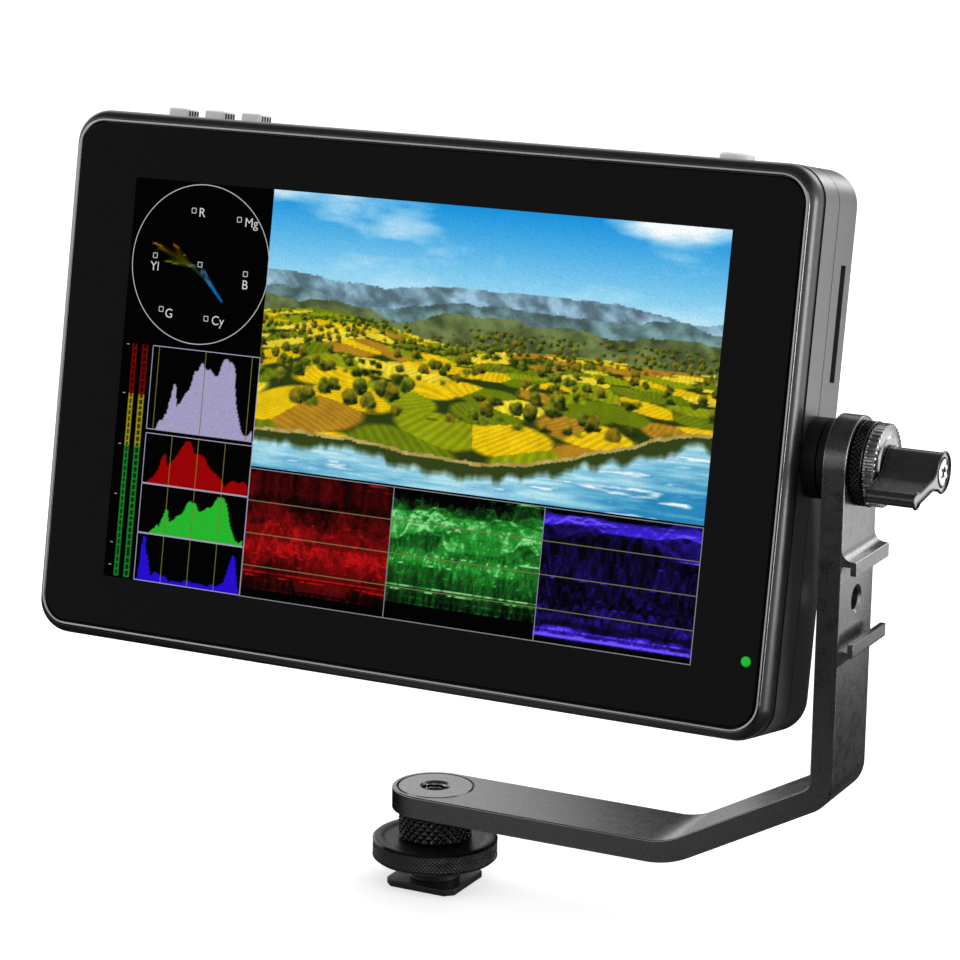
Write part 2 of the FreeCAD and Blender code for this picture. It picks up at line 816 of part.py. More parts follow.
def clamp_screw():
    """Screw through the arm into the monitor, with a ribbed head and a spindle for the lever."""
    body = piece("clamp_screw", "pivot")
    tip = f"({SIDE_ROW} - clamp_grip)"
    hole = f"({SPINDLE_END} - cap_shank_length)"
    turn(
        body,
        "H_Axis",
        (tip, "0"),
        (tip, "clamp_radius"),
        (HEAD_START, "clamp_radius"),
        (HEAD_START, "head_radius"),
        (f"{HEAD_END} - head_bevel", "head_radius"),
        (HEAD_END, "head_radius - head_bevel - rib_depth"),
        (HEAD_END, "boss_radius"),
        (BOSS_END, "boss_radius - head_bevel"),
        (BOSS_END, "spindle_radius"),
        (SPINDLE_END, "spindle_radius"),
        (SPINDLE_END, "cap_shank_radius + seat_gap"),
        (hole, "cap_shank_radius + seat_gap"),
        (hole, "0"),
    )
    notch = polygon(
        ("-rib_gap/4", "head_radius - rib_depth"),
        ("rib_gap/4", "head_radius - rib_depth"),
        ("rib_gap/2", "head_radius + overrun"),
        ("-rib_gap/2", "head_radius + overrun"),
    )
    groove = cut(body, "YZ", f"{HEAD_END} + overrun", "head_length + overrun", notch)
    repeat_round(body, groove, "X", RIB_COUNT)


def clamp_collar():
    """Knurled collar between the arm and the ribbed head."""
    span = (COLLAR_START, HEAD_START)
    ring("clamp_collar", "pivot", "H_Axis", *span, "collar_radius", CLAMP_BORE, "collar_edge")


def clamp_lever():
    """Lever hub with one thin wing that ends in a round ridge, bored for spring and cap screw."""
    body = piece("clamp_lever", "lever")
    extrude(body, "YZ", LEVER_START, "lever_length", disc("lever_radius"))
    blade = box("-lever_reach", "0", "-lever_blade/2", "lever_blade/2")
    extrude(body, "YZ", LEVER_START, "lever_blade_length", blade)
    extrude(body, "YZ", LEVER_START, "lever_blade_length", disc("lever_ridge", "-lever_reach"))
    half = number("lever_blade") / 2
    hub_side = math.sqrt(number("lever_radius") ** 2 - half ** 2)
    ridge_side = number("lever_reach") - math.sqrt(number("lever_ridge") ** 2 - half ** 2)
    for radius, side in (("lever_root", hub_side), ("lever_lip", ridge_side)):
        names = line_edges(body, "x", -side, half) + line_edges(body, "x", -side, -half)
        round_edges(body, radius, names)
    bore = disc("spindle_radius + running_fit")
    cut(body, "YZ", f"{LEVER_END} + overrun", "lever_length + 2 * overrun", bore)
    pocket = disc("cap_radius + cap_play")
    cut(body, "YZ", f"{LEVER_END} + overrun", "lever_length - lever_floor + overrun", pocket)


def cap_screw():
    """Bright screw in the end of the lever, with a hexagon socket."""
    body = piece("cap_screw", "pivot")
    end = f"({SPINDLE_END} + cap_length)"
    start = f"({SPINDLE_END} - cap_shank_length)"
    turn(
        body,
        "H_Axis",
        (start, "0"),
        (start, "cap_shank_radius"),
        (SPINDLE_END, "cap_shank_radius"),
        (SPINDLE_END, "cap_radius"),
        (f"{end} - cap_edge", "cap_radius"),
        (end, "cap_radius - cap_edge"),
        (end, "0"),
    )
    step = 360 / HEX_SIDES
    corners = [(f"cap_hex_radius * cos({step * side})", f"cap_hex_radius * sin({step * side})")
               for side in range(HEX_SIDES)]
    cut(body, "YZ", f"{end} + overrun", "cap_hex_depth + overrun", polygon(*corners))


def lever_spring():
    """Spring that draws the lever back into its seat, as a sleeve of its closed length."""
    body = piece("lever_spring", "pivot")
    inner = "(spindle_radius + spring_play)"
    loops = (disc(f"{inner} + spring_wall"), disc(inner))
    extrude(body, "YZ", f"{SPINDLE_END} - spring_closed", "spring_closed", *loops)


def shell_block(body, back, depth):
    """Extrude the housing's outline with its round corners."""
    extrude(body, "XZ", back, depth, rounded("body_width", "body_height", "body_corner"))


def insert_holes(body):
    """Cut the holes for the threaded inserts in both sides."""
    hole = "nut_insert_radius + seat_gap"
    depth = "nut_insert_length + overrun"
    cut(body, "YZ", f"{SIDE} + overrun", f"{depth} + overrun", disc(hole))
    cut(body, "YZ", f"nut_insert_length + overrun - {SIDE}", f"{depth} + overrun", disc(hole))


def front_bezel():
    """Rounded front frame with a rim round the glass and a ledge behind it."""
    body = piece("front_bezel", "monitor")
    shell_block(body, BEZEL_BACK, "bezel_depth")
    front = -number("front_depth")
    bevel_edges(body, "bezel_bevel_depth", level_edges(body, "y", front), "bezel_bevel")
    shoulder = front + number("bezel_bevel_depth")
    round_edges(body, "bezel_side_round", level_edges(body, "y", shoulder))
    round_edges(body, "bezel_front_round", level_edges(body, "y", front))
    rim = rounded("glass_width + 2 * glass_gap", "glass_height + 2 * glass_gap", "glass_corner + glass_gap")
    cut(body, "XZ", "-front_depth - overrun", "glass_thickness + overrun", rim)
    ledge = rounded("ledge_width", "ledge_height", "ledge_corner")
    cut(body, "XZ", "-front_depth", "bezel_depth + overrun", ledge)
    hole = disc("led_radius + seat_gap", "led_across", "-led_drop")
    cut(body, "XZ", "-front_depth", "bezel_depth + overrun", hole)


def cover_glass():
    """Glass over the whole front, with a small hole for the status light."""
    body = piece("cover_glass", "monitor")
    extrude(body, "XZ", GLASS_BACK, "glass_thickness", rounded("glass_width", "glass_height", "glass_corner"))
    hole = disc("led_radius + seat_gap", "led_across", "-led_drop")
    cut(body, "XZ", "-front_depth - overrun", "glass_thickness + 2 * overrun", hole)


def status_led():
    """Light pipe that ends flush with the glass."""
    body = piece("status_led", "monitor")
    extrude(body, "XZ", BEZEL_BACK, "bezel_depth", disc("led_radius", "led_across", "-led_drop"))


def display_stack():
    """Panel, backlight and heat plate, one behind the other under the glass."""
    panel = piece("display_panel", "monitor")
    extrude(panel, "XZ", PANEL_BACK, "panel_thickness", centred("panel_width", "panel_height"))
    light = piece("backlight", "monitor")
    extrude(light, "XZ", BACKLIGHT_BACK, "backlight_thickness", centred("panel_width", "panel_height"))
    plate = piece("heat_plate", "monitor")
    extrude(plate, "XZ", PLATE_BACK, "plate_thickness", centred("plate_width", "plate_height"))


def post_places():
    """Places of the four screw posts as pairs of formulas."""
    across = f"({SIDE} - post_inset)"
    rise = f"({TOP} - post_inset)"
    return [(f"{x} * {across}", f"{z} * {rise}") for x, z in CORNERS]


def middle_frame():
    """Band behind the bezel with an inner flange for the heat plate and posts for the screws."""
    body = piece("middle_frame", "monitor")
    depth = f"part_line - {BEZEL_BACK}"
    shell_block(body, "part_line", depth)
    inner = rounded("body_width - 2 * wall", "body_height - 2 * wall", "body_corner - wall")
    cut(body, "XZ", BEZEL_BACK, f"{PLATE_BACK} - {BEZEL_BACK}", inner)
    rear = f"({PLATE_BACK} + flange_thickness)"
    cut(body, "XZ", rear, f"part_line + overrun - {rear}", inner)
    cut(body, "XZ", BEZEL_BACK, depth, centred("flange_width", "flange_height"))
    posts = [disc("post_radius", *place) for place in post_places()]
    extrude(body, "XZ", "part_line", f"part_line - {rear}", *posts)
    holes = [disc("screw_radius + seat_gap", *place) for place in post_places()]
    cut(body, "XZ", PLATE_BACK, f"part_line + overrun - {PLATE_BACK}", *holes)
    insert_holes(body)


def rear_cover():
    """Rear shell with posts, bosses, battery recess, vents and the holes for keys and sockets."""
    body = piece("rear_cover", "monitor")
    shell_block(body, "rear_depth", "rear_depth - part_line")
    round_edges(body, "rear_round", level_edges(body, "y", number("rear_depth")))
    inner = rounded("body_width - 2 * wall", "body_height - 2 * wall", "body_corner - wall")
    cut(body, "XZ", "part_line", f"{REAR_INNER} - part_line", inner)
    floor = f"({RECESS_FLOOR} - battery_floor)"
    rim = centred("battery_width + 2 * battery_rim", "battery_height + 2 * battery_rim")
    extrude(body, "XZ", REAR_INNER, f"{REAR_INNER} - {floor}", rim)
    cut(body, "XZ", RECESS_FLOOR, "battery_depth + overrun", centred("battery_width", "battery_height"))
    places = [(f"{x} * board_boss_across", f"{z} * board_boss_rise") for x, z in CORNERS]
    bosses = [disc("board_boss_radius", *place) for place in places]
    extrude(body, "XZ", REAR_INNER, f"{REAR_INNER} - {BOARD_BACK}", *bosses)
    posts = [disc("post_radius", *place) for place in post_places()]
    extrude(body, "XZ", REAR_INNER, f"{REAR_INNER} - part_line", *posts)
    shelf = box("-key_board_length/2", "key_board_length/2", f"{KEY_SHELF_TOP} - key_shelf", KEY_SHELF_TOP)
    extrude(body, "XZ", REAR_INNER, "key_shelf_depth", shelf)
    rear_cover_holes(body)
    rear_cover_vents(body)


def rear_cover_holes(body):
    """Cut the screw holes, the latch hole and the openings in the four sides."""
    shanks = [disc("screw_radius + seat_gap", *place) for place in post_places()]
    cut(body, "XZ", "part_line - overrun", "rear_depth - part_line + 2 * overrun", *shanks)
    heads = [disc("screw_head_radius + seat_gap", *place) for place in post_places()]
    seat_level = "(rear_depth - screw_recess - screw_head_length)"
    cut(body, "XZ", seat_level, "screw_head_length + screw_recess + overrun", *heads)
    latch = box(
        "-latch_width/2 - latch_play",
        "latch_width/2 + latch_play",
        "latch_rise - latch_height/2 - latch_play",
        "latch_rise + latch_height/2 + latch_play",
    )
    cut(body, "XZ", f"{RECESS_FLOOR} - battery_floor - overrun", "battery_floor + 2 * overrun", latch)
    insert_holes(body)
    card = box(
        "card_depth_level - card_slot/2",
        "card_depth_level + card_slot/2",
        "card_low",
        "card_low + card_length",
    )
    cut(body, "YZ", f"{SIDE} + overrun", "wall + 2 * overrun", card)
    for index in range(2):
        low = f"(video_rise + {index} * video_pitch - video_width/2 - seat_gap)"
        slot = box(f"{BOARD_BACK} - seat_gap", f"{BOARD_BACK} + video_height + seat_gap", low,
                   f"{low} + video_width + 2 * seat_gap")
        cut(body, "YZ", f"wall + overrun - {SIDE}", "wall + 2 * overrun", slot)
    for drop in ("power_jack_drop", "audio_jack_drop"):
        nose = disc("jack_nose_radius + seat_gap", f"{BOARD_BACK} + jack_height/2", f"-{drop}")
        cut(body, "YZ", f"wall + overrun - {SIDE}", "wall + 2 * overrun", nose)
    for index in range(len(KEY_NAMES)):
        middle = f"(key_first + {index} * key_pitch)"
        hole = box(
            f"{middle} - key_width/2 - key_play",
            f"{middle} + key_width/2 + key_play",
            "key_depth_level - key_depth/2 - key_play",
            "key_depth_level + key_depth/2 + key_play",
        )
        cut(body, "XY", f"{TOP} + overrun", "wall + 2 * overrun", hole)
    power = disc("power_key_radius + key_play", "power_key_across", "key_depth_level")
    cut(body, "XY", f"{TOP} + overrun", "wall + 2 * overrun", power)


def rear_cover_vents(body):
    """Cut a block of vent slots on each side of the battery recess."""
    first = f"(-vent_pitch * {(VENT_COUNT - 1) / 2})"
    for side in ("fan_across", "-fan_across"):
        slot = box(
            f"{side} - vent_length/2",
            f"{side} + vent_length/2",
            f"{first} - vent_slot/2",
            f"{first} + vent_slot/2",
        )
        vent = cut(body, "XZ", f"{REAR_INNER} - overrun", "wall + 2 * overrun", slot)
        repeat_line(body, vent, "V_Axis", f"vent_pitch * {VENT_COUNT - 1}", VENT_COUNT)


def main_board():
    """Main circuit board on the cover's bosses, with two chips on its front."""
    body = piece("main_board", "monitor")
    extrude(body, "XZ", BOARD_BACK, "board_thickness", centred("board_width", "board_height"))
    chips = [box(f"{side} * chip_across - chip_side/2", f"{side} * chip_across + chip_side/2", "-chip_side/2",
                 "chip_side/2") for side in (-1, 1)]
    extrude(body, "XZ", "board_front", "chip_height", *chips)


def housing_inserts():
    """Threaded inserts: one right through for the clamp screw, one blind one for another mount."""
    right = piece("pivot_insert", "monitor")
    start = f"{SIDE} - nut_insert_length"
    extrude(right, "YZ", start, "nut_insert_length", disc("nut_insert_radius"), disc(CLAMP_BORE))
    left = piece("left_insert", "monitor")
    extrude(left, "YZ", f"-{SIDE}", "nut_insert_length", disc("nut_insert_radius"))
    depth = "nut_insert_depth + overrun"
    cut(left, "YZ", f"nut_insert_depth - {SIDE}", depth, disc("thread_bore_radius"))


def card_socket():
    """Card socket on the board, open towards the slot in the right side."""
    body = piece("card_socket", "monitor")
    start = f"{SIDE} - wall - seat_gap - card_socket_depth"
    low = "(card_low - card_border)"
    high = "(card_low + card_length + card_border)"
    block = box(BOARD_BACK, f"{BOARD_BACK} + card_socket_height", low, high)
    extrude(body, "YZ", start, "card_socket_depth", block)
    mouth = box("card_depth_level - card_slot/2 + seat_gap", "card_depth_level + card_slot/2 - seat_gap",
                "card_low + seat_gap", "card_low + card_length - seat_gap")
    cut(body, "YZ", f"{SIDE}", "card_length", mouth)


def video_socket(label, index):
    """Video socket: a bent metal shell with bevelled corners and a tongue inside."""
    body = piece(label, "monitor")
    middle = f"(video_rise + {index} * video_pitch)"
    start = f"socket_sink - {SIDE}"

    def shell(inset):
        near = f"{BOARD_BACK} + {inset}"
        far = f"{BOARD_BACK} + video_height - {inset}"
        half = f"(video_width/2 - {inset})"
        return polygon(
            (near, f"{middle} - {half}"),
            (f"{far} - video_bevel", f"{middle} - {half}"),
            (far, f"{middle} - {half} + video_bevel"),
            (far, f"{middle} + {half} - video_bevel"),
            (f"{far} - video_bevel", f"{middle} + {half}"),
            (near, f"{middle} + {half}"),
        )

    extrude(body, "YZ", start, "video_depth", shell("0"))
    depth = "video_depth - 2 * video_shell"
    cut(body, "YZ", f"{start} + {depth}", f"{depth} + overrun", shell("video_shell"))
    centre = f"({BOARD_BACK} + video_height/2)"
    tongue = box(
        f"{centre} - video_tongue/2",
        f"{centre} + video_tongue/2",
        f"{middle} - video_tongue_width/2",
        f"{middle} + video_tongue_width/2",
    )
    extrude(body, "YZ", f"{start} + video_shell", depth, tongue)


def round_jack(label, drop, bore, pin=None):
    """Round jack: a block on the board with a nose in the wall and a bore, with a pin if it has one."""
    body = piece(label, "monitor")
    middle = f"{BOARD_BACK} + jack_height/2"
    block = box(
        BOARD_BACK,
        f"{BOARD_BACK} + jack_height",
        f"-{drop} - jack_width/2",
        f"-{drop} + jack_width/2",
    )
    extrude(body, "YZ", f"wall + seat_gap - {SIDE}", "jack_depth", block)
    nose = disc("jack_nose_radius", middle, f"-{drop}")
    extrude(body, "YZ", f"socket_sink - {SIDE}", "wall + seat_gap - socket_sink", nose)
    hole = disc(bore, middle, f"-{drop}")
    cut(body, "YZ", f"socket_sink + jack_bore_depth - {SIDE}", "jack_bore_depth + overrun", hole)
    if pin:
        rod = disc(pin, middle, f"-{drop}")
        extrude(body, "YZ", f"2 * socket_sink - {SIDE}", "jack_bore_depth", rod)


def key_stem_bottom():
    """Formula of the height at which every key's stem ends."""
    return f"({TOP} - wall - face_gap - key_flange_height - key_stem)"


def top_keys():
    """Three square keys with a flange under the top wall and a short stem."""
    flange_top = f"({TOP} - wall - face_gap)"
    for index, label in enumerate(KEY_NAMES):
        body = piece(label, "monitor")
        middle = f"(key_first + {index} * key_pitch)"

        def block(grow):
            return box(
                f"{middle} - key_width/2 - {grow}",
                f"{middle} + key_width/2 + {grow}",
                f"key_depth_level - key_depth/2 - {grow}",
                f"key_depth_level + key_depth/2 + {grow}",
            )

        cap = f"{TOP} + key_proud - {flange_top}"
        extrude(body, "XY", flange_top, cap, block("0"))
        upright = edges(body, lambda edge: runs_along(edge, "z"))
        bevel_edges(body, "key_round", upright)
        crest = number("body_height") / 2 + number("key_proud")
        bevel_edges(body, "key_round/2", level_edges(body, "z", crest))
        extrude(body, "XY", f"{flange_top} - key_flange_height", "key_flange_height", block("key_flange"))
        stem = disc("key_width/4", middle, "key_depth_level")
        extrude(body, "XY", key_stem_bottom(), "key_stem", stem)


def power_key():
    """Round domed power key."""
    body = piece("power_key", "monitor")
    flange_top = f"({TOP} - wall - face_gap)"
    place = ("power_key_across", "key_depth_level")
    cap = f"{TOP} + power_key_proud - {flange_top}"
    extrude(body, "XY", flange_top, cap, disc("power_key_radius", *place))
    crest = number("body_height") / 2 + number("power_key_proud")
    bevel_edges(body, "power_key_dome", level_edges(body, "z", crest))
    flange = disc("power_key_radius + key_flange", *place)
    extrude(body, "XY", f"{flange_top} - key_flange_height", "key_flange_height", flange)
    extrude(body, "XY", key_stem_bottom(), "key_stem", disc("key_width/4", *place))


def key_board():
    """Narrow board under the keys with one switch below each of them."""
    body = piece("key_board", "monitor")
    back = f"({REAR_INNER} - seat_gap)"
    strip = box("-key_board_length/2", "key_board_length/2", f"{back} - key_board_depth", back)
    extrude(body, "XY", KEY_SHELF_TOP, "key_board_thickness", strip)
    places = [f"(key_first + {index} * key_pitch)" for index in range(len(KEY_NAMES))]
    places.append("power_key_across")
    switches = [box(f"{place} - switch_side/2", f"{place} + switch_side/2", "key_depth_level - switch_side/2",
                    "key_depth_level + switch_side/2") for place in places]
    extrude(body, "XY", f"{KEY_SHELF_TOP} + key_board_thickness", "switch_height", *switches)


def battery_plate():
    """Battery plate: a block with a lipped channel that a camera battery slides down."""
    body = piece("battery_plate", "monitor")
    half = "(battery_width/2 - seat_gap)"
    back = "rear_depth"
    lip = "rear_depth - channel_lip"
    floor = f"({RECESS_FLOOR} + battery_base)"
    wide = "channel_width/2"
    narrow = "channel_lip_gap/2"
    profile = polygon(
        (f"-{half}", RECESS_FLOOR),
        (half, RECESS_FLOOR),
        (half, back),
        (narrow, back),
        (narrow, lip),
        (wide, lip),
        (wide, floor),
        (f"-{wide}", floor),
        (f"-{wide}", lip),
        (f"-{narrow}", lip),
        (f"-{narrow}", back),
        (f"-{half}", back),
    )
    extrude(body, "XY", "seat_gap - battery_height/2", "battery_height - 2 * seat_gap", profile)
    latch = box(
        "-latch_width/2 - latch_play",
        "latch_width/2 + latch_play",
        "latch_rise - latch_height/2 - latch_play",
        "latch_rise + latch_height/2 + latch_play",
    )
    cut(body, "XZ", f"{RECESS_FLOOR} - overrun", "battery_base + 2 * overrun", latch)


def battery_contacts():
    """Contact block at the foot of the channel, and the blades that stand on it."""
    body = piece("battery_contacts", "monitor")
    floor = f"({RECESS_FLOOR} + battery_base)"
    block = box("-contact_width/2", "contact_width/2", floor, f"{floor} + contact_proud")
    extrude(body, "XY", "seat_gap - battery_height/2", "contact_height", block)
    blades = []
    for side in CONTACT_BLADES:
        blade = doc.addObject("Part::Box", f"blade_{side + 1}")
        blade.setExpression("Length", bound("blade_thickness"))
        blade.setExpression("Width", bound("blade_width"))
        blade.setExpression("Height", bound("blade_length"))
        blade.setExpression("Placement.Base.x", bound(f"{side} * blade_pitch - blade_thickness/2"))
        blade.setExpression("Placement.Base.y", bound(f"{floor} + blade_rise"))
        blade.setExpression("Placement.Base.z", bound("seat_gap + contact_height - battery_height/2"))
        blades.append(blade)
    group = doc.addObject("Part::MultiFuse", "contact_blades")
    group.Label = "contact_blades"
    group.Shapes = blades
    seat(group, "monitor")
    subparts.append(group)
    doc.recompute()


def battery_latch():
    """Sprung latch in the channel, with a flange behind the cover's recess floor."""
    body = piece("battery_latch", "monitor")
    tip = f"({RECESS_FLOOR} + battery_base + latch_proud)"
    seat_level = f"({RECESS_FLOOR} - battery_floor - face_gap)"
    root = f"({seat_level} - latch_flange_thickness)"

    def block(grow):
        return box(
            f"-latch_width/2 - {grow}",
            f"latch_width/2 + {grow}",
            f"latch_rise - latch_height/2 - {grow}",
            f"latch_rise + latch_height/2 + {grow}",
        )

    extrude(body, "XZ", tip, f"{tip} - {root}", block("0"))
    height = number("rear_depth") - number("battery_depth") + number("battery_base") + number("latch_proud")
    upper = number("latch_rise") + number("latch_height") / 2
    bevel_edges(body, "latch_bevel", line_edges(body, "x", height, upper))
    extrude(body, "XZ", seat_level, "latch_flange_thickness", block("latch_flange"))


def fan_frame():
    """Square fan frame with a round bore, and a hub plate held by three spokes."""
    body = piece("fan_frame", "fan")
    loops = (centred("fan_side", "fan_side"), disc("fan_bore"))
    extrude(body, "XZ", REAR_INNER, f"{REAR_INNER} - fan_front", *loops)
    half = number("fan_side") / 2
    bevel_edges(body, "fan_corner", corner_edges(body, "y", half, half))
    front = "(fan_front + fan_plate)"
    spoke = box("0", "fan_bore + fan_plate", "-fan_spoke/2", "fan_spoke/2")
    arm = extrude(body, "XZ", front, "fan_plate", spoke)
    repeat_round(body, arm, "Y", SPOKE_COUNT)
    extrude(body, "XZ", front, "fan_plate", disc("fan_hub_radius"))
    cut(body, "XZ", "fan_front - overrun", "fan_plate + 2 * overrun", disc("rotor_shaft + running_fit"))


def fan_rotor():
    """Fan rotor: a hub cup with slanted blades and a short shaft."""
    body = piece("fan_rotor", "fan")
    front = "(fan_front + fan_plate + rotor_gap)"
    extrude(body, "XZ", f"{front} + rotor_length", "rotor_length", disc("rotor_radius"))
    blade = polygon(
        (front, "-blade_sweep"),
        (f"{front} + blade_web", "-blade_sweep"),
        (f"{front} + rotor_length", "blade_sweep"),
        (f"{front} + rotor_length - blade_web", "blade_sweep"),
    )
    reach = "blade_tip - rotor_radius + blade_bite"
    wing = extrude(body, "YZ", "rotor_radius - blade_bite", reach, blade)
    repeat_round(body, wing, "Y", BLADE_COUNT)
    extrude(body, "XZ", front, f"{front} - fan_front", disc("rotor_shaft"))


def housing_screws():
    """Four screws that hold the rear cover to the posts of the middle frame."""
    solids = []
    head_back = "(rear_depth - screw_recess)"
    shank_back = f"({head_back} - screw_head_length)"
    sizes = (("head", "screw_head_radius", "screw_head_length", head_back),
             ("shank", "screw_radius", "screw_length", shank_back))
    for index, (across, rise) in enumerate(post_places()):
        for name, radius, length, back in sizes:
            rod = doc.addObject("Part::Cylinder", f"screw_{name}_{index}")
            rod.setExpression("Radius", bound(radius))
            rod.setExpression("Height", bound(length))
            base = f"create(<<vector>>; {bound(across)}; {bound(back)}; {bound(rise)})"
            lay = "create(<<rotation>>; create(<<vector>>; 1; 0; 0); 90)"
            rod.setExpression("Placement", f"create(<<placement>>; {base}; {lay})")
            solids.append(rod)
    group = doc.addObject("Part::MultiFuse", "housing_screws")
    group.Label = "housing_screws"
    group.Shapes = solids
    seat(group, "monitor")
    subparts.append(group)
    doc.recompute()


def check_and_write():
    """Stop on any failed object or bad shape, then write one file per sub-part."""
    doc.recompute()
    for item in doc.Objects:
        if "Invalid" in item.State or "Error" in item.State:
            raise RuntimeError(f"{item.Label} failed: {item.State}")
    for item in subparts:
        if item.Shape.isNull() or not item.Shape.isValid():
            raise RuntimeError(f"{item.Label} has no valid shape")
    os.makedirs("parts", exist_ok=True)
    for item in subparts:
        item.Shape.exportStep(f"parts/{item.Label}.step")
        print(f"{item.Label}: {len(item.Shape.Solids)} solid, {item.Shape.Volume:.1f} mm3")


shoe_foot()
shoe_pad()
lock_wheel()
arm_nut()
tilt_arm()
arm_insert()
friction_discs()
clamp_screw()
clamp_collar()
clamp_lever()
cap_screw()
lever_spring()
front_bezel()
cover_glass()
status_led()
display_stack()
middle_frame()
rear_cover()
main_board()
housing_inserts()
card_socket()
video_socket("video_input", 1)
video_socket("video_output", 0)
round_jack("power_jack", "power_jack_drop", "power_jack_bore", "power_jack_pin")
round_jack("audio_jack", "audio_jack_drop", "audio_jack_bore")
top_keys()
power_key()
key_board()
battery_plate()
battery_contacts()
battery_latch()
fan_frame()
fan_rotor()
housing_screws()
check_and_write()
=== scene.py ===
"""Camera field monitor on a tilt arm: finished surfaces, screen graphics, light and camera."""

import json
import logging
import math
from collections.abc import Callable, Sequence
from dataclasses import dataclass, field
from enum import Enum, IntEnum

import bmesh
import bpy
import numpy as np
from mathutils import Matrix, Vector


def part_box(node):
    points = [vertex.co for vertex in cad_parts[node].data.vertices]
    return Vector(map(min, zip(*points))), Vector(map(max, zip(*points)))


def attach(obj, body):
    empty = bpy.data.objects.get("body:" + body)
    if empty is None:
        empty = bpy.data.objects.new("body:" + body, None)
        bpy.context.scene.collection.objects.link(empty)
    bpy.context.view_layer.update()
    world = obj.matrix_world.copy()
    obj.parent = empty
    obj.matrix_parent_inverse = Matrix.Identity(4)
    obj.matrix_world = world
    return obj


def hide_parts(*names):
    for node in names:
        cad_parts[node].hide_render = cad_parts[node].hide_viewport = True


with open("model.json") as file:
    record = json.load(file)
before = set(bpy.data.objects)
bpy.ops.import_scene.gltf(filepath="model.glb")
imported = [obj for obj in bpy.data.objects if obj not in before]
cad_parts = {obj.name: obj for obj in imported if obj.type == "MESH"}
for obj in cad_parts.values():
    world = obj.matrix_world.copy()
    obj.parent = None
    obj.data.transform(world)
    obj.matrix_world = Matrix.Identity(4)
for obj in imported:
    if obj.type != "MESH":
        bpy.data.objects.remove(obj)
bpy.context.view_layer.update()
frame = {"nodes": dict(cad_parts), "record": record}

log = logging.getLogger("field_monitor")

MM = 0.001
WELD = 0.0004 * MM
COPY_WELD = 0.001 * MM
FLAT_ANGLE = math.radians(0.5)
BREAK_ANGLE = math.radians(40.0)
BREAK_STEPS = 2
LIGHT_LAYER = "light"
WHITE = (1.0, 1.0, 1.0, 1.0)
ORIGIN = (0.0, 0.0, 0.0)

Points = np.ndarray
Colour = tuple[float, float, float]
Relief = Callable[[Points, Points], Points]


class Axis(Enum):
    """Axis that a turned piece is built round."""

    X = "x"
    Z = "z"


class Slot(Enum):
    """Material slots of the record that pieces take their finish from."""

    BLACK_METAL = "black_metal"
    HOUSING = "housing_metal"
    BRIGHT = "bright_metal"
    PLATE = "plate_metal"
    CHROME = "chrome"
    RUBBER = "rubber"
    GLASS = "glass"
    PANEL = "panel"
    WHITE_PLASTIC = "white_plastic"
    BLACK_PLASTIC = "black_plastic"
    KEY = "key"
    LED = "led"
    BOARD = "board"
    BRASS = "brass"
    SOCKET = "socket_metal"


class Face(IntEnum):
    """Finish numbers of the arm's surface."""

    WIDE = 0
    NARROW = 1


# ---------------------------------------------------------------- places and surfaces


@dataclass(frozen=True)
class Seat:
    """Own frame of a sub-assembly: an origin in millimetres and a turn about X in degrees."""

    origin: tuple[float, float, float]
    turn: float = 0.0

    def place(self, points: Points) -> Points:
        """Carry points from this frame to the row frame.

        Args:
            points: Points in millimetres, with the three coordinates on the last axis.

        Returns:
            The same points in metres of the row frame.
        """
        c, s = math.cos(math.radians(self.turn)), math.sin(math.radians(self.turn))
        matrix = np.array([[1.0, 0.0, 0.0], [0.0, c, -s], [0.0, s, c]])
        return (points @ matrix.T + np.array(self.origin)) * MM


@dataclass
class Surface:
    """Four-sided faces over a set of points, with one finish number per face."""

    points: Points
    quads: Points
    finish: Points


def node_span(node: str) -> tuple[Points, Points]:
    """Give the box of a CAD node.

    Args:
        node: Name of the node.

    Returns:
        Its lowest and highest corner, in millimetres of the row frame.
    """
    low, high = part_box(node)
    return np.array(low) / MM, np.array(high) / MM


def loft(rings: Points, bands: Sequence[int] = ()) -> Surface:
    """Skin a stack of closed loops: point (i, j) meets (i, j + 1), round the loop, and (i + 1, j).

    Args:
        rings: Loops of equal length, shaped (rows, columns, 3), in millimetres.
        bands: Finish number of each band between two loops; zero where none is given.

    Returns:
        The skin.
    """
    rows, columns = rings.shape[:2]
    index = np.arange(rows * columns).reshape(rows, columns)
    after = np.roll(index, -1, axis=1)
    quads = np.stack([index[:-1], after[:-1], after[1:], index[1:]], axis=-1).reshape(-1, 4)
    numbers = np.array(bands, dtype=int) if len(bands) else np.zeros(rows - 1, dtype=int)
    return Surface(rings.reshape(-1, 3), quads, np.repeat(numbers, columns))


def patch(grid: Points) -> Surface:
    """Skin an open grid: point (i, j) meets (i, j + 1) and (i + 1, j).

    Args:
        grid: Points shaped (rows, columns, 3), in millimetres.

    Returns:
        The skin.
    """
    rows, columns = grid.shape[:2]
    index = np.arange(rows * columns).reshape(rows, columns)
    quads = np.stack([index[:-1, :-1], index[:-1, 1:], index[1:, 1:], index[1:, :-1]], axis=-1)
    quads = quads.reshape(-1, 4)
    return Surface(grid.reshape(-1, 3), quads, np.zeros(len(quads), dtype=int))


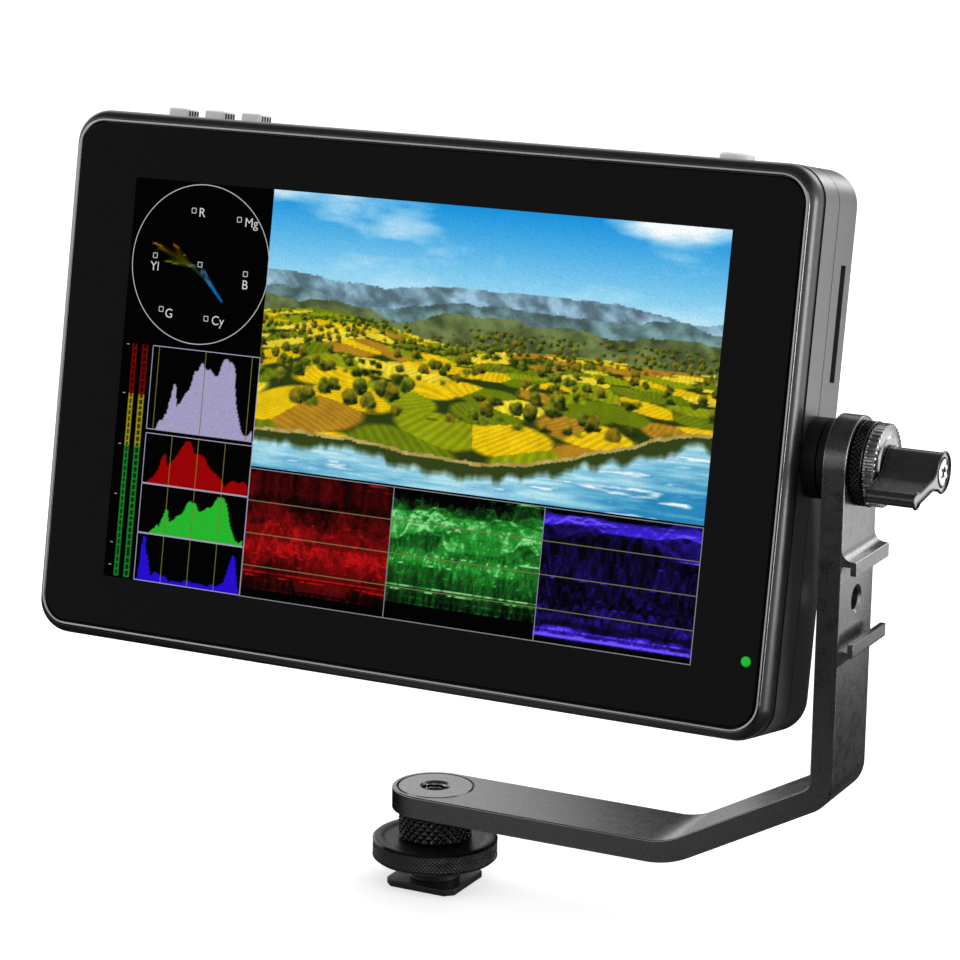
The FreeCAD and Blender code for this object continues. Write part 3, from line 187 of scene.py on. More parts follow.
def lathe(
    profile: Sequence[Sequence[float]],
    axis: Axis,
    segments: int = 96,
    relief: Relief | None = None,
    bands: Sequence[int] = (),
) -> Surface:
    """Turn a profile: the point at level a and angle t has the radius r(a) + relief(t, a).

    Args:
        profile: Rows of (level, radius) or (level, distance across the flats / 2, number of sides).
        axis: Axis of the turned piece.
        segments: Points round the axis.
        relief: Change of the radius, as a function of the angles and the levels.
        bands: Finish number of each band between two rows; zero where none is given.

    Returns:
        The turned skin, in millimetres.
    """
    turn = np.linspace(0.0, 2.0 * np.pi, segments, endpoint=False)[None, :]
    level = np.array([row[0] for row in profile])[:, None]
    radius = np.array([row[1] for row in profile])[:, None] * np.ones_like(turn)
    sides = np.array([row[2] if len(row) > 2 else 0.0 for row in profile])[:, None]
    sector = 2.0 * np.pi / np.maximum(sides, 1.0)
    flat = 1.0 / np.cos(np.where(sides > 0, np.mod(turn, sector) - sector / 2.0, 0.0))
    radius = radius * flat
    if relief is not None:
        radius = radius + relief(turn, level)
    first, second, along = radius * np.cos(turn), radius * np.sin(turn), level + 0.0 * turn
    order = (along, first, second) if axis is Axis.X else (first, second, along)
    return loft(np.stack(order, axis=-1), bands)


def plug(start: float, end: float, radius: float, axis: Axis, segments: int) -> Surface:
    """Turn a plain closed cylinder between two levels."""
    return lathe([(start, 0.0), (start, radius), (end, radius), (end, 0.0)], axis, segments)


def fine_rows(start: float, end: float, radius: float, rows: int) -> list[tuple[float, float]]:
    """Give evenly spaced profile rows of one radius.

    Args:
        start: First level.
        end: Last level.
        radius: Radius of each row.
        rows: Number of rows.

    Returns:
        Rows of (level, radius).
    """
    return [(float(level), radius) for level in np.linspace(start, end, rows)]


def rounded_loop(half_width: float, half_height: float, corner: float, steps: int = 10) -> Points:
    """Walk round a rectangle whose corners are quarter circles about their own centres.

    Args:
        half_width: Half of the width.
        half_height: Half of the height.
        corner: Corner radius.
        steps: Parts of each quarter circle.

    Returns:
        Loop of points shaped (4 * (steps + 1), 2).
    """
    angle = np.linspace(0.0, np.pi / 2.0, steps + 1)[None, :] + np.pi / 2.0 * np.arange(4)[:, None]
    right, up = np.array([[1.0, -1.0, -1.0, 1.0], [1.0, 1.0, -1.0, -1.0]])[..., None]
    across = right * (half_width - corner) + corner * np.cos(angle)
    rise = up * (half_height - corner) + corner * np.sin(angle)
    return np.stack([across.ravel(), rise.ravel()], axis=-1)


def frame_loft(rows: Sequence[tuple[float, float, float, float]]) -> Surface:
    """Skin round-cornered loops that stand one behind the other along the depth.

    Args:
        rows: Half width, half height, corner radius and depth of each loop; no size makes a pole.

    Returns:
        The skin, in the monitor's frame.
    """
    flat = np.stack([rounded_loop(width, height, corner) for width, height, corner, _ in rows])
    depths = np.array([row[3] for row in rows])[:, None] * np.ones(flat.shape[1])
    return loft(np.stack([flat[..., 0], depths, flat[..., 1]], axis=-1))


def blocks(centres: Points, size: Sequence[float]) -> Surface:
    """Set equal boxes: each corner is the box's centre plus or minus half of each side.

    Args:
        centres: Centres shaped (count, 3), in millimetres.
        size: Sides of the box.

    Returns:
        All boxes as one surface.
    """
    signs = np.array([[x, y, z] for z in (-1, 1) for y in (-1, 1) for x in (-1, 1)]) / 2.0
    level = [[0, 2, 3, 1], [4, 5, 7, 6]]
    sides = np.array(level + [[0, 1, 5, 4], [2, 6, 7, 3], [0, 4, 6, 2], [1, 3, 7, 5]])
    points = centres[:, None, :] + signs[None, :, :] * np.array(size)
    quads = (sides[None, :, :] + len(signs) * np.arange(len(centres))[:, None, None]).reshape(-1, 4)
    return Surface(points.reshape(-1, 3), quads, np.zeros(len(quads), dtype=int))


def quarter_round(radius: float, count: int) -> list[tuple[float, float]]:
    """Give a broken edge as rows of (setback from the end, inset), from the side to the end.

    Args:
        radius: Radius of the edge.
        count: Number of rows.

    Returns:
        The rows, the first of them without an inset.
    """
    turns = np.linspace(0.0, np.pi / 2.0, count)
    return [(radius * (1.0 - math.sin(t)), radius * (1.0 - math.cos(t))) for t in turns]


def triangle_wave(phase: Points) -> Points:
    """Rise and fall evenly between 0 and 1 once per unit of phase."""
    return np.abs(2.0 * np.mod(phase, 1.0) - 1.0)


@dataclass(frozen=True)
class DiamondKnurl:
    """Raised pyramids between two sets of crossing helical grooves."""

    count: int
    pitch: float
    depth: float
    low: float
    high: float

    def __call__(self, turn: Points, level: Points) -> Points:
        """Lower the radius in the grooves: the height is the lesser of two crossing waves.

        Args:
            turn: Angles round the axis.
            level: Levels along the axis.

        Returns:
            Change of the radius, in millimetres.
        """
        around, along = turn * self.count / (2.0 * np.pi), level / self.pitch
        height = np.minimum(triangle_wave(around + along), triangle_wave(around - along))
        inside = (level > self.low) & (level < self.high)
        return np.where(inside, self.depth * (height - 1.0), 0.0)


@dataclass(frozen=True)
class Ribs:
    """Rounded ribs along the axis that run out at both ends."""

    count: int
    depth: float
    low: float
    high: float

    def __call__(self, turn: Points, level: Points) -> Points:
        """Lower the radius between the ribs: a clipped wave round the axis, faded at the ends.

        Args:
            turn: Angles round the axis.
            level: Levels along the axis.

        Returns:
            Change of the radius, in millimetres.
        """
        wave = np.clip(0.5 + 0.7 * np.cos(turn * self.count), 0.0, 1.0)
        middle, half = (self.low + self.high) / 2.0, (self.high - self.low) / 2.0
        fade = np.clip(1.0 - np.abs((level - middle) / half) ** 6, 0.0, 1.0)
        return -self.depth * (1.0 - wave) * fade


@dataclass(frozen=True)
class Thread:
    """Fine helical thread in a bore."""

    pitch: float
    depth: float
    low: float
    high: float

    def __call__(self, turn: Points, level: Points) -> Points:
        """Widen the bore along a helix: a wave of the level that shifts by one pitch per turn.

        Args:
            turn: Angles round the axis.
            level: Levels along the axis.

        Returns:
            Change of the radius, in millimetres.
        """
        wave = triangle_wave(level / self.pitch - turn / (2.0 * np.pi))
        inside = (level > self.low) & (level < self.high)
        return np.where(inside, self.depth * wave, 0.0)


# ---------------------------------------------------------------- finishes


DRIFT_SIZE = 9.0
LEAST_ROUGHNESS = 0.03
WAVE_RATE = 10.0


def to_light(level: Points) -> Points:
    """Turn display levels from 0 to 1 into linear light, by the standard curve of displays."""
    return np.where(level <= 0.04045, level / 12.92, ((level + 0.055) / 1.055) ** 2.4)


def linear(colour: Colour) -> tuple[float, float, float, float]:
    """Turn a display colour into linear light.

    Args:
        colour: Red, green and blue as displayed, from 0 to 1.

    Returns:
        Linear red, green and blue, with full cover.
    """
    light = to_light(np.array(colour))
    return (float(light[0]), float(light[1]), float(light[2]), 1.0)


def join(tree: bpy.types.NodeTree, node: bpy.types.Node, inputs: dict[str | int, object]) -> None:
    """Set inputs of a shader node.

    Args:
        tree: Node tree of the material or world.
        node: The node.
        inputs: Value of each input, or the socket that it is joined to.
    """
    for name, value in inputs.items():
        if isinstance(value, bpy.types.NodeSocket):
            tree.links.new(value, node.inputs[name])
        else:
            node.inputs[name].default_value = value


def add_node(
    tree: bpy.types.NodeTree, kind: str, inputs: dict[str | int, object], **settings: object
) -> bpy.types.Node:
    """Add a shader node.

    Args:
        tree: Node tree of the material or world.
        kind: Type of the node, without the prefix that all shader nodes have.
        inputs: Value of each input, or the socket that it is joined to.
        **settings: Attributes of the node, which are set before its inputs.

    Returns:
        The node.
    """
    node = tree.nodes.new(f"ShaderNode{kind}")
    for name, value in settings.items():
        setattr(node, name, value)
    join(tree, node, inputs)
    return node


def own_place(tree: bpy.types.NodeTree) -> bpy.types.NodeSocket:
    """Give the socket with the coordinates of the piece itself."""
    return add_node(tree, "TexCoord", {}).outputs["Object"]


def remap(
    tree: bpy.types.NodeTree,
    value: bpy.types.NodeSocket,
    low: float,
    high: float,
    start: float = 0.3,
    end: float = 0.7,
) -> bpy.types.NodeSocket:
    """Stretch a value from one span to another; the usual span is that of a noise.

    Args:
        tree: Node tree of the material or world.
        value: Socket with the value.
        low: Result at the start of the span.
        high: Result at its end.
        start: Start of the span.
        end: End of the span.

    Returns:
        Socket with the result.
    """
    inputs = {"From Min": start, "From Max": end, "To Min": low, "To Max": high, "Value": value}
    return add_node(tree, "MapRange", inputs).outputs["Result"]


@dataclass(frozen=True)
class Finish:
    """Satin, blasted or polished surface with grain in its colour, gloss and relief."""

    name: str
    colour: Colour
    metallic: float = 0.0
    roughness: float = 0.4
    specular: float = 0.5
    grain: float = 0.3
    relief: float = 0.01
    fleck: float = 0.12
    spread: float = 0.06

    def material(self) -> bpy.types.Material:
        """Give this finish's material, made on first use.

        Returns:
            The material.
        """
        found = bpy.data.materials.get(self.name)
        if found is not None:
            return found
        made = bpy.data.materials.new(self.name)
        made.use_nodes = True
        made.diffuse_color = linear(self.colour)
        self.wire(made.node_tree, made.node_tree.nodes["Principled BSDF"])
        return made

    def wire(self, tree: bpy.types.NodeTree, shader: bpy.types.Node) -> None:
        """Join the grain to the shader.

        Args:
            tree: Node tree of the material.
            shader: Its shader node.
        """
        place = own_place(tree)
        grain = self.noise(tree, place, self.grain, 2.0)
        drift = self.noise(tree, place, self.grain * DRIFT_SIZE, 3.0)
        glossy = max(LEAST_ROUGHNESS, self.roughness - self.spread)
        dull = self.roughness + self.spread
        base = np.array(linear(self.colour)[:3])
        dark = (*np.clip(base * (1.0 - self.fleck), 0.0, 1.0), 1.0)
        pale = (*np.clip(base * (1.0 + self.fleck), 0.0, 1.0), 1.0)
        tint = add_node(tree, "Mix", {"A": dark, "B": pale, "Factor": grain}, data_type="RGBA")
        relief = {"Strength": 1.0, "Distance": self.relief * MM, "Height": grain}
        surface = {
            "Metallic": self.metallic,
            "Specular IOR Level": self.specular,
            "Roughness": remap(tree, drift, glossy, min(1.0, dull)),
            "Base Color": tint.outputs["Result"],
            "Normal": add_node(tree, "Bump", relief).outputs["Normal"],
        }
        join(tree, shader, surface)

    @staticmethod
    def noise(
        tree: bpy.types.NodeTree, place: bpy.types.NodeSocket, size: float, detail: float
    ) -> bpy.types.NodeSocket:
        """Add a noise texture.

        Args:
            tree: Node tree of the material.
            place: Socket with the coordinates.
            size: Size of one grain, in millimetres.
            detail: Octaves of the noise.

        Returns:
            Socket with the noise value.
        """
        inputs = {"Scale": 1.0 / (size * MM), "Detail": detail, "Vector": place}
        return add_node(tree, "TexNoise", inputs).outputs["Fac"]


@dataclass(frozen=True)
class TurnedFinish(Finish):
    """Finish with fine concentric tool marks round a centre."""

    centre: tuple[float, float, float] = ORIGIN
    groove: float = 0.22
    mark: float = 0.002
    round_x: bool = False

    def wire(self, tree: bpy.types.NodeTree, shader: bpy.types.Node) -> None:
        """Join grain and tool marks to the shader.

        Args:
            tree: Node tree of the material.
            shader: Its shader node.
        """
        super().wire(tree, shader)
        centre = [-value * MM for value in self.centre]
        shift = add_node(tree, "Mapping", {"Location": centre, "Vector": own_place(tree)})
        wave = {
            "Scale": math.pi / (WAVE_RATE * self.groove * MM),
            "Distortion": 0.6,
            "Vector": shift.outputs["Vector"],
        }
        axis = "X" if self.round_x else "Z"
        rings = add_node(tree, "TexWave", wave, wave_type="RINGS", rings_direction=axis)
        grain = shader.inputs["Normal"].links[0].from_socket
        relief = {"Distance": self.mark * MM, "Height": rings.outputs["Fac"], "Normal": grain}
        join(tree, shader, {"Normal": add_node(tree, "Bump", relief).outputs["Normal"]})


@dataclass(frozen=True)
class GlowFinish(Finish):
    """Lit screen: the piece's own colours shine through a fine pixel grain."""

    strength: float = 1.0

    def wire(self, tree: bpy.types.NodeTree, shader: bpy.types.Node) -> None:
        """Join the colours and the pixel grain to the shader.

        Args:
            tree: Node tree of the material.
            shader: Its shader node.
        """
        super().wire(tree, shader)
        light = add_node(tree, "VertexColor", {}, layer_name=LIGHT_LAYER).outputs["Color"]
        grain = self.noise(tree, own_place(tree), self.grain, 1.0)
        dim = remap(tree, grain, 1.0 - self.fleck, 1.0 + self.fleck)
        shine = add_node(tree, "VectorMath", {0: light, "Scale": dim}, operation="SCALE")
        glow = {"Emission Color": shine.outputs["Vector"], "Emission Strength": self.strength}
        join(tree, shader, glow)


ANODISED = Finish("anodised_satin", (0.53, 0.53, 0.535), 0.96, 0.28, 0.5, 0.24, 0.002, 0.08, 0.03)
BLASTED = Finish("anodised_blasted", (0.42, 0.42, 0.425), 1.0, 0.30, 0.5, 0.36, 0.05, 0.35, 0.06)
DARK = Finish("anodised_black", (0.11, 0.11, 0.112), 0.0, 0.36, 0.5, 0.14, 0.004, 0.3, 0.05)
MATT_BLACK = Finish("matt_black", (0.05, 0.05, 0.051), 0.0, 0.55, 0.2, 0.14, 0.006, 0.3, 0.06)
KNURLED = Finish("anodised_knurled", (0.045, 0.045, 0.047), 0.0, 0.17, 0.6, 0.10, 0.004, 0.3, 0.06)
NUT_BLACK = Finish("nut_black", (0.025, 0.025, 0.027), 0.0, 0.15, 0.35, 0.10, 0.004, 0.3, 0.06)
HOUSING = Finish("housing_satin", (0.52, 0.52, 0.525), 0.88, 0.32, 0.5, 0.24, 0.002, 0.06, 0.03)
BEZEL = Finish("bezel_satin", (0.10, 0.10, 0.102), 0.0, 0.31, 0.62, 0.14, 0.003, 0.2, 0.04)
POLISHED = Finish("polished_rim", (0.60, 0.60, 0.605), 1.0, 0.20, 0.5, 0.4, 0.0015, 0.04, 0.05)
LEVER = Finish("lever_satin", (0.11, 0.11, 0.113), 0.0, 0.26, 1.0, 0.12, 0.004, 0.25, 0.05)
HUB_END = Finish("hub_end_turned", (0.64, 0.64, 0.645), 1.0, 0.34, 0.5, 0.12, 0.003, 0.10, 0.06)
CHROME = Finish("chrome_plated", (0.90, 0.90, 0.905), 1.0, 0.14, 0.5, 0.3, 0.001, 0.04, 0.04)
BRIGHT = Finish("bright_turned", (0.72, 0.72, 0.73), 1.0, 0.26, 0.5, 0.16, 0.003, 0.12, 0.07)
PLATE = Finish("rolled_plate", (0.55, 0.55, 0.56), 1.0, 0.36, 0.5, 0.25, 0.004, 0.15, 0.06)
RUBBER = Finish("soft_rubber", (0.12, 0.12, 0.12), 0.0, 0.75, 0.3, 0.2, 0.012, 0.25, 0.08)
GLASS = Finish("cover_glass", (0.035, 0.035, 0.038), 0.0, 0.06, 0.06, 0.6, 0.0002, 0.2, 0.02)
BLACK_PLASTIC = Finish("black_plastic", (0.11, 0.11, 0.113), 0.0, 0.5, 0.4, 0.18, 0.01, 0.22, 0.07)
WHITE_PLASTIC = Finish(
    "white_plastic", (0.86, 0.86, 0.85), 0.0, 0.45, 0.45, 0.3, 0.006, 0.05, 0.05
)
KEY = Finish("key_plastic", (0.95, 0.95, 0.95), 0.0, 0.34, 0.5, 0.2, 0.006, 0.07, 0.05)
BOARD = Finish("board_mask", (0.07, 0.26, 0.15), 0.0, 0.35, 0.5, 0.8, 0.006, 0.3, 0.06)
BRASS = Finish("brass_turned", (0.66, 0.57, 0.38), 1.0, 0.30, 0.5, 0.24, 0.002, 0.08, 0.04)
GOLD = Finish("gold_plated", (0.93, 0.76, 0.40), 1.0, 0.22, 0.5, 0.2, 0.002, 0.08, 0.05)
SOCKET = Finish("socket_steel", (0.68, 0.68, 0.69), 1.0, 0.30, 0.5, 0.2, 0.004, 0.12, 0.07)
# Near-black colour of the parting-line bands: painted shade in the gaps between the housing's
# parts.
SEAM_SHADE = Finish("seam_shadow", (0.05, 0.05, 0.05), 0.0, 0.7, 0.15, 0.2, 0.004, 0.3, 0.05)
FLOOR = Finish("floor_paint", (0.95, 0.95, 0.95), 0.0, 0.9, 0.0, 4.0, 0.002, 0.01, 0.03)
TURNED_WHEEL = TurnedFinish(
    "turned_wheel", (0.09, 0.09, 0.091), 0.0, 0.42, 0.45, 0.12, 0.003, 0.3, 0.06
)
TURNED_INSERT = TurnedFinish(
    "turned_insert", (0.58, 0.58, 0.585), 1.0, 0.28, 0.5, 0.12, 0.003, 0.12, 0.05
)
LIT = GlowFinish("lit_screen", (0.01, 0.01, 0.01), 0.0, 0.5, 0.0, 0.34, 0.0002, 0.10, 0.03)
LED_GLOW = GlowFinish("lit_lamp", (0.05, 0.2, 0.08), 0.0, 0.3, 0.2, 0.2, 0.002, 0.12, 0.04)

SLOT_FINISH = {
    Slot.BLACK_METAL: DARK,
    Slot.HOUSING: HOUSING,
    Slot.BRIGHT: BRIGHT,
    Slot.PLATE: PLATE,
    Slot.CHROME: CHROME,
    Slot.RUBBER: RUBBER,
    Slot.GLASS: GLASS,
    Slot.PANEL: GLASS,
    Slot.WHITE_PLASTIC: WHITE_PLASTIC,
    Slot.BLACK_PLASTIC: BLACK_PLASTIC,
    Slot.KEY: KEY,
    Slot.LED: LED_GLOW,
    Slot.BOARD: BOARD,
    Slot.BRASS: BRASS,
    Slot.SOCKET: SOCKET,
}


# ---------------------------------------------------------------- pieces


@dataclass(frozen=True)
class Tag:
    """What a piece rides on, its material slot, and the CAD nodes that it stands for."""

    body: str
    slot: Slot
    nodes: tuple[str, ...] = ()


def place_object(name: str, data: bpy.types.ID) -> bpy.types.Object:
    """Link a new object to the scene.

    Args:
        name: Name of the object.
        data: Its mesh, curve, light or camera.

    Returns:
        The object.
    """
    made = bpy.data.objects.new(name, data)
    bpy.context.scene.collection.objects.link(made)
    return made


def finish_mesh(mesh: bpy.types.Mesh, sharp: float) -> None:
    """Close seams and poles, turn the faces outward and shade the mesh smooth between sharp edges.

    Args:
        mesh: The mesh of a closed surface.
        sharp: Angle above which an edge stays sharp, in degrees.
    """
    work = bmesh.new()
    work.from_mesh(mesh)
    bmesh.ops.remove_doubles(work, verts=work.verts, dist=WELD)
    bmesh.ops.dissolve_degenerate(work, edges=work.edges, dist=WELD)
    bmesh.ops.recalc_face_normals(work, faces=work.faces)
    work.to_mesh(mesh)
    work.free()
    mesh.shade_smooth()
    mesh.set_sharp_from_angle(angle=math.radians(sharp))


def enter(piece: bpy.types.Object, tag: Tag) -> None:
    """Hang a finished piece on its body and hide the CAD nodes that it stands for.

    Args:
        piece: The piece, in place.
        tag: Its body, slot and CAD nodes.
    """
    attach(piece, tag.body)
    if tag.nodes:
        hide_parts(*tag.nodes)
    log.info("piece %s: %d faces", piece.name, len(piece.data.polygons))


def raw_object(name: str, surface: Surface, seat: Seat) -> bpy.types.Object:
    """Make an object from a surface.

    Args:
        name: Name of the object.
        surface: Its surface, in millimetres of the seat.
        seat: The frame that the surface is given in.

    Returns:
        The object, linked to the scene.
    """
    mesh = bpy.data.meshes.new(name)
    mesh.from_pydata(seat.place(surface.points).tolist(), [], surface.quads.tolist())
    mesh.polygons.foreach_set("material_index", surface.finish.astype(np.int32))
    return place_object(name, mesh)


def solid(
    name: str,
    surface: Surface,
    seat: Seat,
    finishes: Sequence[Finish],
    tag: Tag,
    sharp: float = 32.0,
    *,
    capped: bool = False,
    holes: Sequence[tuple[Surface, Seat]] = (),
    touch: Callable[[bpy.types.Mesh], None] | None = None,
    edge: float = 0.0,
) -> None:
    """Make a closed piece from a surface.

    Args:
        name: Name of the piece.
        surface: Its surface, in millimetres of the seat.
        seat: The frame that the surface is given in.
        finishes: Finishes by finish number.
        tag: Body, slot and CAD nodes.
        sharp: Angle above which an edge stays sharp, in degrees.
        capped: Whether the surface has open ends, which get one face each.
        holes: Closed surfaces that are taken away, each with its frame.
        touch: Last change to the mesh.
        edge: Width of the broken edges, in millimetres; zero leaves them sharp.
    """
    made = raw_object(name, surface, seat)
    if capped:
        cap_ends(made.data)
    for finish in finishes:
        made.data.materials.append(finish.material())
    finish_mesh(made.data, sharp)
    if holes:
        bore(made, holes, sharp)
    if touch is not None:
        touch(made.data)
    if edge > 0.0:
        soften(made, edge)
    weigh(made)
    enter(made, tag)


def weigh(piece: bpy.types.Object) -> None:
    """Let large faces rule the shading, so that flat faces look flat beside narrow rounds."""
    piece.modifiers.new("weighted", "WEIGHTED_NORMAL").keep_sharp = True


def soften(piece: bpy.types.Object, width: float) -> None:
    """Break the sharp edges of a piece.

    Args:
        piece: The piece.
        width: Width of the broken edge, in millimetres.
    """
    edge = piece.modifiers.new("edge_break", "BEVEL")
    edge.width, edge.segments = width * MM, BREAK_STEPS
    edge.limit_method, edge.angle_limit = "ANGLE", BREAK_ANGLE
    edge.use_clamp_overlap = True


def bore(piece: bpy.types.Object, holes: Sequence[tuple[Surface, Seat]], sharp: float) -> None:
    """Cut holes in a piece.

    Args:
        piece: The piece.
        holes: Closed surfaces that are taken away from it, each with its frame.
        sharp: Angle above which an edge stays sharp, in degrees.
    """
    cutters = [raw_object("cutter", surface, seat) for surface, seat in holes]
    for cutter in cutters:
        finish_mesh(cutter.data, sharp)
        cut = piece.modifiers.new("hole", "BOOLEAN")
        cut.operation, cut.solver, cut.object = "DIFFERENCE", "EXACT", cutter
    shape = piece.evaluated_get(bpy.context.evaluated_depsgraph_get())
    mesh = bpy.data.meshes.new_from_object(shape)
    piece.modifiers.clear()
    piece.data = mesh
    mesh.shade_smooth()
    mesh.set_sharp_from_angle(angle=math.radians(sharp))
    for cutter in cutters:
        bpy.data.objects.remove(cutter)


def smooth_copy(
    node: str, finish: Finish, tag: Tag, edge: float = 0.0, sharp: float = 30.0
) -> None:
    """Make a smooth-shaded piece from a copy of a CAD node's mesh.

    Args:
        node: Name of the node, which the piece stands for.
        finish: Its finish.
        tag: Body and slot.
        edge: Width of the broken edges, in millimetres; zero leaves them sharp.
        sharp: Angle above which an edge stays sharp, in degrees.
    """
    mesh = frame["nodes"][node].data.copy()
    mesh.name = f"{node}_smooth"
    if "custom_normal" in mesh.attributes:
        mesh.attributes.remove(mesh.attributes["custom_normal"])
    work = bmesh.new()
    work.from_mesh(mesh)
    bmesh.ops.remove_doubles(work, verts=work.verts, dist=COPY_WELD)
    bmesh.ops.dissolve_limit(
        work, angle_limit=FLAT_ANGLE, verts=work.verts, edges=work.edges, delimit={"NORMAL"}
    )
    work.to_mesh(mesh)
    work.free()
    mesh.materials.clear()
    mesh.materials.append(finish.material())
    made = place_object(f"{node}_smooth", mesh)
    finish_mesh(mesh, sharp)
    if edge > 0.0:
        soften(made, edge)
    weigh(made)
    enter(made, Tag(tag.body, tag.slot, (node,)))


# ---------------------------------------------------------------- foot


@dataclass
class ShoeFoot:
    """Foot plate, rubber pad, lock wheel and arm nut round the stud."""

    wheel_knurl: float = 0.95
    nut_knurl: float = 2.0
    knurl_depth: float = 0.34
    nut_depth: float = 0.6
    edge: float = 0.5
    dish: float = 0.3
    dish_radius: float = 11.8
    bore: float = 3.4
    neck_pocket: float = 1.8
    neck_hole: float = 6.25
    pad_seat: float = 0.8
    pad_hole: float = 10.3
    shoulder: float = 0.1
    shoulder_rise: float = 0.05
    knurl_sharp: float = 50.0
    foot_edge: float = 0.22
    pad_edge: float = 0.15

    def build(self) -> None:
        """Make the pieces of the foot."""
        foot, pad = Tag("shoe_foot", Slot.BLACK_METAL), Tag("shoe_pad", Slot.RUBBER)
        smooth_copy("shoe_foot", DARK, foot, edge=self.foot_edge)
        smooth_copy("shoe_pad", RUBBER, pad, edge=self.pad_edge)
        self.wheel()
        self.nut()

    def wheel(self) -> None:
        """Make the lock wheel: a fine knurl round the rim and a shallow dish in the top."""
        low, high = node_span("lock_wheel")
        radius, floor, top = high[0], low[2], high[2]
        rim_low, rim_high = floor + self.edge, top - self.edge
        rim = fine_rows(rim_low, rim_high, radius, 42)
        under = [
            (floor + self.neck_pocket, self.bore),
            (floor + self.neck_pocket, self.neck_hole),
            (floor + self.pad_seat, self.neck_hole),
            (floor + self.pad_seat, self.pad_hole),
            (floor, self.pad_hole),
            (floor, radius - self.edge - self.shoulder),
            (floor + self.shoulder_rise, radius - self.edge),
        ]
        over = [
            (top - self.shoulder_rise, radius - self.edge),
            (top, radius - self.edge - self.shoulder),
            (top, self.dish_radius + self.dish),
            (top - self.dish, self.dish_radius),
            (top - self.dish, self.bore),
            (floor + self.neck_pocket, self.bore),
        ]
        count = round(2.0 * math.pi * radius / self.wheel_knurl)
        knurl = DiamondKnurl(count, self.wheel_knurl, self.knurl_depth, rim_low, rim_high)
        bands = [0] * (len(under) - 1) + [1] * (len(rim) + 1) + [0] * (len(over) - 1)
        surface = lathe([*under, *rim, *over], Axis.Z, count * 8, knurl, bands)
        tag = Tag("lock_wheel", Slot.BLACK_METAL, ("lock_wheel",))
        finishes = [TURNED_WHEEL, KNURLED]
        solid("lock_wheel_knurled", surface, Seat(ORIGIN), finishes, tag, self.knurl_sharp)

    def nut(self) -> None:
        """Make the arm nut: a coarse knurl between two plain edges."""
        low, high = node_span("arm_nut")
        radius, floor, top = high[0], low[2], high[2]
        rim_low, rim_high = floor + self.edge, top - self.edge
        profile = [
            (floor, self.bore),
            (floor, radius - self.edge),
            *fine_rows(rim_low, rim_high, radius, 44),
            (top, radius - self.edge),
            (top, self.bore),
            (floor, self.bore),
        ]
        count = round(2.0 * math.pi * radius / self.nut_knurl)
        knurl = DiamondKnurl(count, self.nut_knurl, self.nut_depth, rim_low, rim_high)
        surface = lathe(profile, Axis.Z, count * 12, knurl)
        tag = Tag("arm_nut", Slot.BLACK_METAL, ("arm_nut",))
        solid("arm_nut_knurled", surface, Seat(ORIGIN), [NUT_BLACK], tag, self.knurl_sharp)


# ---------------------------------------------------------------- arm


@dataclass(frozen=True)
class BentPath:
    """Inner face of the bent bar, seen along Y: line, arc, line, arc, line."""

    level: float
    first_corner: float
    reach: float
    slope: float
    low_radius: float
    high_radius: float
    pivot: float

    def runs(self) -> list[tuple[float, float]]:
        """Give the stretches of the path.

        Returns:
            Length and turning angle of each stretch, from the foot's axis to the pivot.
        """
        steep = math.pi / 2.0 - self.slope
        low_cut = self.low_radius * math.tan(self.slope / 2.0)
        high_cut = self.high_radius * math.tan(steep / 2.0)
        slope_length = (self.reach - self.first_corner) / math.cos(self.slope)
        rise = self.level + (self.reach - self.first_corner) * math.tan(self.slope)
        return [
            (self.first_corner - low_cut, 0.0),
            (self.low_radius * self.slope, self.slope),
            (slope_length - low_cut - high_cut, 0.0),
            (self.high_radius * steep, steep),
            (self.pivot - rise - high_cut, 0.0),
        ]

    def length(self) -> float:
        """Give the length from the foot's axis to the pivot."""
        return sum(run for run, _ in self.runs())

    def stations(self, line_steps: int = 6, arc_steps: int = 14) -> Points:
        """Give distances along the path that follow its bends closely.

        Args:
            line_steps: Parts of a straight stretch.
            arc_steps: Parts of an arc.

        Returns:
            Increasing distances, in millimetres.
        """
        ends = np.concatenate([[0.0], np.cumsum([run for run, _ in self.runs()])])
        steps = [arc_steps if turn > 0.0 else line_steps for _, turn in self.runs()]
        spans = zip(ends[:-1], ends[1:], steps)
        parts = [np.linspace(start, end, count, endpoint=False) for start, end, count in spans]
        return np.concatenate([*parts, ends[-1:]])

    def at(self, distance: Points, depth: Points) -> tuple[Points, Points]:
        """Give points beside the path: its point, less the depth along the inward normal.

        Args:
            distance: Distances along the path.
            depth: Depths below the inner face.

        Returns:
            The X and Z coordinates.
        """
        heading, x, z, start = 0.0, 0.0, self.level, 0.0
        across, rise = np.zeros_like(distance), np.zeros_like(distance)
        runs = self.runs()
        for number, (run, turn) in enumerate(runs):
            first, last = number == 0, number == len(runs) - 1
            here = (distance >= start) | first
            here = here & ((distance <= start + run) | last)
            gone = distance - start
            swing = heading + gone * turn / run
            bend = run / turn if turn else 1.0
            end, sine, cosine = heading + turn, math.sin(heading), math.cos(heading)
            step_x = bend * (np.sin(swing) - sine) if turn else gone * cosine
            step_z = bend * (cosine - np.cos(swing)) if turn else gone * sine
            across = np.where(here, x + step_x + depth * np.sin(swing), across)
            rise = np.where(here, z + step_z - depth * np.cos(swing), rise)
            x += bend * (math.sin(end) - sine) if turn else run * cosine
            z += bend * (cosine - math.cos(end)) if turn else run * sine
            heading, start = end, start + run
        return across, rise


